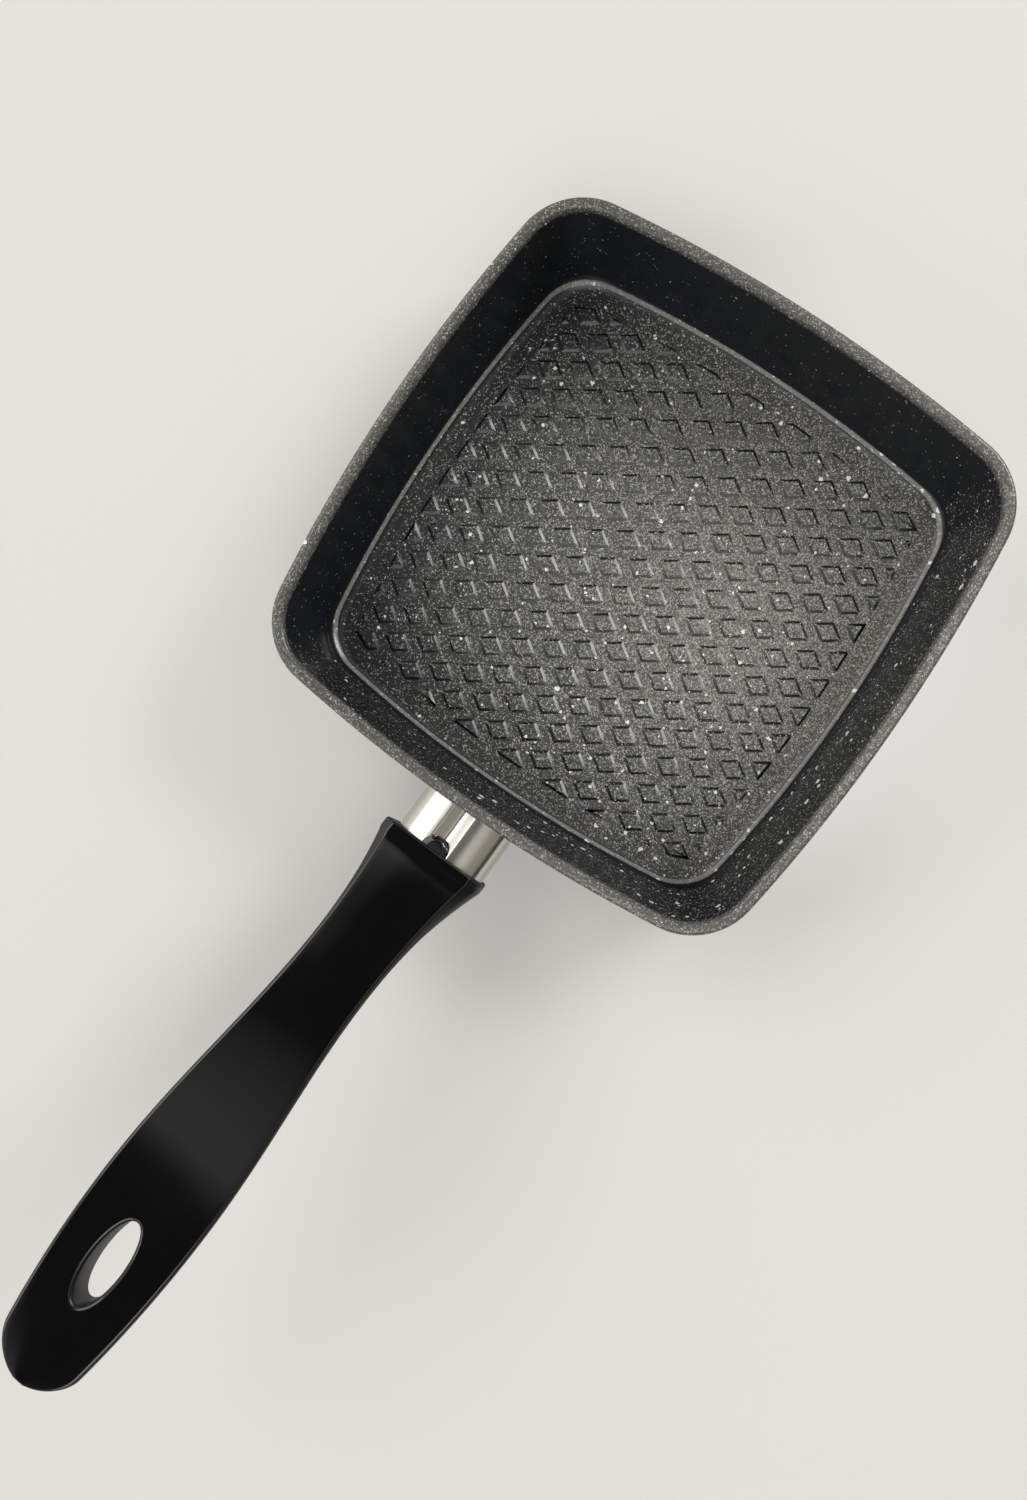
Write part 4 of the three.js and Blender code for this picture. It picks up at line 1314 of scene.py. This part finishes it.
def polished_sheet(colours):
    """Stainless sheet, drawn into a sleeve and buffed: a bright mirror with faint lines along the draw
    and a slightly warm tone."""
    line_size = 0.35 * MM  # real buffing lines are too fine to show, so they are drawn coarser
    drawn_out = (1, 0.03, 1)
    finish, node, place = new_finish("polished_stainless_sheet")
    along = node("Mapping", {"Vector": place, "Scale": drawn_out})
    lines = node("TexNoise", {"Vector": along, "Scale": 1 / line_size, "Detail": 3})
    tone = node("Mix", {
        "data_type": "RGBA", FACTOR: lines, FIRST: rgba(colours.guard, 0.92), SECOND: rgba(colours.guard),
    })
    rough = node("MapRange", {"Value": lines, "To Min": 0.16, "To Max": 0.26})
    bump = node("Bump", {"Height": lines, "Strength": 0.05, "Distance": 0.01 * MM})
    shader = node("BsdfPrincipled", {
        "Base Color": tone, "Roughness": rough, "Normal": bump, "Metallic": 1,
    })
    node("OutputMaterial", {"Surface": shader})
    return finish


def cloudy_metal(name, tint, darkest, cloud_size, detail, smoothest, roughest):
    """A metal whose tone and roughness vary over the same patches."""
    finish, node, place = new_finish(name)
    cloud = node("TexNoise", {"Vector": place, "Scale": 1 / cloud_size, "Detail": detail})
    tone = node("Mix", {
        "data_type": "RGBA", FACTOR: cloud, FIRST: rgba(tint, darkest), SECOND: rgba(tint),
    })
    rough = node("MapRange", {"Value": cloud, "To Min": smoothest, "To Max": roughest})
    shader = node("BsdfPrincipled", {"Base Color": tone, "Roughness": rough, "Metallic": 1})
    node("OutputMaterial", {"Surface": shader})
    return finish


def welded_aluminium(colours):
    """Aluminium bar, turned and welded on: a dull grey metal with uneven marks, drawn coarser than
    real ones, which are too fine to show."""
    return cloudy_metal(
        "welded_aluminium", colours.boss, darkest=0.75, cloud_size=0.6 * MM, detail=4,
        smoothest=0.35, roughest=0.6,
    )


def zinc_plate(colours):
    """Steel with bright zinc plating: a cool grey metal with faint cloudy patches."""
    return cloudy_metal(
        "zinc_plated_steel", colours.zinc, darkest=0.8, cloud_size=1.5 * MM, detail=3,
        smoothest=0.22, roughest=0.42,
    )


def opal_acrylic(stage):
    """Opal acrylic that glows with painted light of its own, strongest round a spot under the pan's
    back right: a flat pale grey, faintly uneven over a hand's width, in which that painted glow keeps
    shadows light, most so near that spot."""
    cloud_size = 90 * MM
    # centre of the stronger painted glow, the reach within which it is strongest, and the reach beyond
    # which only the even glow of the whole top is left
    glow_spot = (22 * MM, 18 * MM, 0)
    glow_full_reach = 63 * MM
    glow_fade_reach = 105 * MM
    finish, node, place = new_finish("opal_acrylic")
    cloud = node("TexNoise", {"Vector": place, "Scale": 1 / cloud_size, "Detail": 2})
    tone = node("Mix", {
        "data_type": "RGBA", FACTOR: cloud, FIRST: rgba(stage.table, 0.98), SECOND: rgba(stage.table),
    })
    away = node("VectorMath", {"operation": "DISTANCE", 0: place, 1: glow_spot})
    glow = node("MapRange", {
        "interpolation_type": "SMOOTHSTEP",
        "Value": away,
        "From Min": glow_fade_reach,
        "From Max": glow_full_reach,
        "To Min": 1,
        "To Max": 1.9,
    })
    shader = node("BsdfPrincipled", {
        "Base Color": tone,
        "Roughness": 0.85,
        "Specular IOR Level": 0.2,
        "Emission Color": rgba(stage.table_glow),
        "Emission Strength": glow,
    })
    node("OutputMaterial", {"Surface": shader})
    return finish


# Stage

LAMPS = (  # name, and place and size in metres
    ("key", (-1.5, 0.18, 1.31), (1.2, 1.45)),
    ("side", (0.742, 1.555, 0.975), (0.85, 0.42)),
    ("fill", (0.574, -0.993, 1.64), (1.2, 1.2)),
    ("back", (-1.26, -0.98, 1.2), (0.55, 0.55)),
)
DARK_PLACES = (  # direction, and how near to it the dark begins and is full
    ((0.9, -0.1, -1), 0.3, 0.6),
    ((-0.504, 0.807, 0.309), 0.9, 0.96),
)
PANEL_EDGES = (  # axis, and where along it the ceiling panel is out of sight and full
    ("X", -0.6, -0.5),
    ("X", 0, -0.16),
    ("Y", 0, 0.015),
    ("Y", 0.28, 0.02),
)


class StageOperator(bpy.types.Operator):
    """Sets the table, the light and the camera."""

    bl_idname = "butter_pan.stage"
    bl_label = "Stage"

    def execute(self, context):
        stage = context.scene.butter_pan.stage
        self.table(context, stage)
        self.world(context, stage)
        for name, place, size in LAMPS:
            self.lamp(context, stage, name, place, size)
        self.camera(context, stage)
        context.scene.view_settings.view_transform = "Standard"
        return {"FINISHED"}

    def table(self, context, stage):
        """A table top a little below the base, large enough to reach the horizon."""
        half = 12
        below = -0.1 * MM
        mesh = bpy.data.meshes.new("table_top")
        corners = [(-half, -half, below), (half, -half, below), (half, half, below), (-half, half, below)]
        mesh.from_pydata(corners, [], [(0, 1, 2, 3)])
        mesh.materials.append(opal_acrylic(stage))
        table = bpy.data.objects.new("table_top", mesh)
        context.scene.collection.objects.link(table)

    def world(self, context, stage):
        """Light from all round that is weaker on the right and nearly gone in the dark places and in
        an oval overhead, where a ceiling panel with one sharp edge shows. Overhead, directions are
        drawn on a plane above the pan. The camera itself sees a plain pale backdrop."""
        world = bpy.data.worlds.new("soft_room")
        world.use_nodes = True
        world.node_tree.nodes.clear()
        node = partial(add_node, world.node_tree)
        towards = node("TexCoord", {}).outputs["Generated"]
        parts = node("SeparateXYZ", {"Vector": towards}).outputs
        right = node("MapRange", {
            "interpolation_type": "SMOOTHSTEP", "Value": parts["X"], "From Min": -0.2, "From Max": 0.7,
        })
        slopes = {
            axis: node("Math", {"operation": "DIVIDE", 0: parts[axis], 1: parts["Z"]}) for axis in "XY"
        }
        oval = node("Mapping", {
            "vector_type": "TEXTURE",
            "Vector": node("CombineXYZ", slopes),
            "Location": (-0.24, 0.12, 0),
            "Scale": (0.34, 0.65, 1),
        })
        away = node("VectorMath", {"operation": "LENGTH", 0: oval})
        overhead = node("MapRange", {
            "interpolation_type": "SMOOTHSTEP", "Value": away, "From Min": 1.3, "From Max": 0.8,
        })
        panel = overhead
        for axis, hidden, full in PANEL_EDGES:
            edge = node("MapRange", {"Value": slopes[axis], "From Min": hidden, "From Max": full})
            panel = node("Math", {"operation": "MULTIPLY", 0: panel, 1: edge})
        layers = [(right, stage.shade)]
        for direction, begins, full in DARK_PLACES:
            along = node("VectorMath", {"operation": "DOT_PRODUCT", 0: towards, 1: direction})
            dark = node("MapRange", {
                "interpolation_type": "SMOOTHSTEP", "Value": along, "From Min": begins, "From Max": full,
            })
            layers.append((dark, stage.zenith))
        seen = node("LightPath", {}).outputs["Is Camera Ray"]
        layers += [(overhead, stage.zenith), (panel, stage.panel), (seen, stage.horizon)]
        room = rgba(stage.horizon)
        for share, tint in layers:
            room = node("Mix", {"data_type": "RGBA", FACTOR: share, FIRST: room, SECOND: rgba(tint)})
        node("OutputWorld", {"Surface": node("Background", {"Color": room, "Strength": 1.02})})
        context.scene.world = world

    def lamp(self, context, stage, name, place, size):
        """A soft rectangular lamp that faces the pan, with its colour and power from the settings."""
        light = bpy.data.lights.new(name + "_light", "AREA")
        light.shape = "RECTANGLE"
        light.size, light.size_y = size
        light.color = getattr(stage, name)
        light.energy = getattr(stage, name + "_power")
        lamp = bpy.data.objects.new(name + "_light", light)
        lamp.location = place
        lamp.rotation_euler = (-Vector(place)).to_track_quat("-Z", "Y").to_euler()
        context.scene.collection.objects.link(lamp)

    def camera(self, context, stage):
        """The camera at the photograph's viewing angle."""
        lens = bpy.data.cameras.new("camera")
        lens.lens = stage.lens
        lens.sensor_width = 36
        lens.clip_start = 0.01
        camera = bpy.data.objects.new("camera", lens)
        camera.location = stage.eye
        camera.rotation_euler = stage.aim
        context.scene.collection.objects.link(camera)
        context.scene.camera = camera


# Pieces

class PanOperator(bpy.types.Operator):
    """Builds the coated pan with its floor of lozenges."""

    bl_idname = "butter_pan.coated_pan"
    bl_label = "Coated pan"

    def execute(self, context):
        settings = context.scene.butter_pan
        patches = pan_patches(settings.pan, settings.lozenge)
        finish = speckled_coating(settings.pan, settings.finish)
        make_piece("coated_pan", "pan_body", patches, finish, math.radians(25))
        return {"FINISHED"}


class HandleOperator(bpy.types.Operator):
    """Builds the moulded handle and its key."""

    bl_idname = "butter_pan.handle"
    bl_label = "Handle"

    def execute(self, context):
        settings = context.scene.butter_pan
        finish = moulded_phenolic(settings.finish)
        for name, patches in (
            ("moulded_handle", handle_patches(settings)),
            ("handle_key", key_patches(settings)),
        ):
            make_piece(name, "handle", carried(settings, patches), finish)
        return {"FINISHED"}


class GuardOperator(bpy.types.Operator):
    """Builds the polished flame guard."""

    bl_idname = "butter_pan.flame_guard"
    bl_label = "Flame guard"

    def execute(self, context):
        settings = context.scene.butter_pan
        patches = carried(settings, [guard_patch(settings)])
        finish = polished_sheet(settings.finish)
        make_piece("polished_guard", "flame_guard", patches, finish)
        return {"FINISHED"}


class BossOperator(bpy.types.Operator):
    """Builds the welded boss."""

    bl_idname = "butter_pan.boss"
    bl_label = "Welded boss"

    def execute(self, context):
        settings = context.scene.butter_pan
        patches = carried(settings, [boss_patch(settings)])
        finish = welded_aluminium(settings.finish)
        make_piece("welded_boss", "handle_boss", patches, finish)
        return {"FINISHED"}


class FastenerOperator(bpy.types.Operator):
    """Builds the screw and its two washers."""

    bl_idname = "butter_pan.fasteners"
    bl_label = "Screw and washers"

    def execute(self, context):
        settings = context.scene.butter_pan
        finish = zinc_plate(settings.finish)
        crease = math.radians(35)
        for name, node, patches in (
            ("plated_screw", "handle_screw", [screw_patch(settings)]),
            ("plated_flat_washer", "flat_washer", [flat_washer_patch(settings)]),
            ("plated_spring_washer", "spring_washer", spring_washer_patches(settings)),
        ):
            make_piece(name, node, carried(settings, patches), finish, crease)
        return {"FINISHED"}


def own_properties(group):
    """Names of a group's own properties, without the two that every group has."""
    return group.bl_rna.properties.keys()[2:]


class ButterPanPanel(bpy.types.Panel):
    """Lists the butter pan's operators and sizes."""

    bl_idname = "VIEW3D_PT_butter_pan"
    bl_label = "Butter Pan"
    bl_space_type = "VIEW_3D"
    bl_region_type = "UI"
    bl_category = "Butter Pan"

    def draw(self, context):
        settings = context.scene.butter_pan
        for operator in OPERATORS:
            self.layout.operator(operator.bl_idname)
        for group in own_properties(settings):
            box = self.layout.box()
            for name in own_properties(getattr(settings, group)):
                box.prop(getattr(settings, group), name)


GROUPS = (
    PanSizes, LozengeSizes, JointSizes, GuardSizes, HandleSizes, Finishes, StageSettings, ButterPan
)
OPERATORS = (
    StageOperator, PanOperator, HandleOperator, GuardOperator, BossOperator, FastenerOperator
)


def register():
    """Registers the classes and hangs the settings on the scene."""
    for kind in (*GROUPS, *OPERATORS, ButterPanPanel):
        bpy.utils.register_class(kind)
    bpy.types.Scene.butter_pan = PointerProperty(type=ButterPan)


def unregister():
    """Takes the settings and the classes away again."""
    del bpy.types.Scene.butter_pan
    for kind in reversed((*GROUPS, *OPERATORS, ButterPanPanel)):
        bpy.utils.unregister_class(kind)


def main():
    """Builds every piece in order."""
    register()
    bpy.ops.butter_pan.stage()
    bpy.ops.butter_pan.coated_pan()
    bpy.ops.butter_pan.handle()
    bpy.ops.butter_pan.flame_guard()
    bpy.ops.butter_pan.boss()
    bpy.ops.butter_pan.fasteners()


if __name__ == "__main__":
    main()
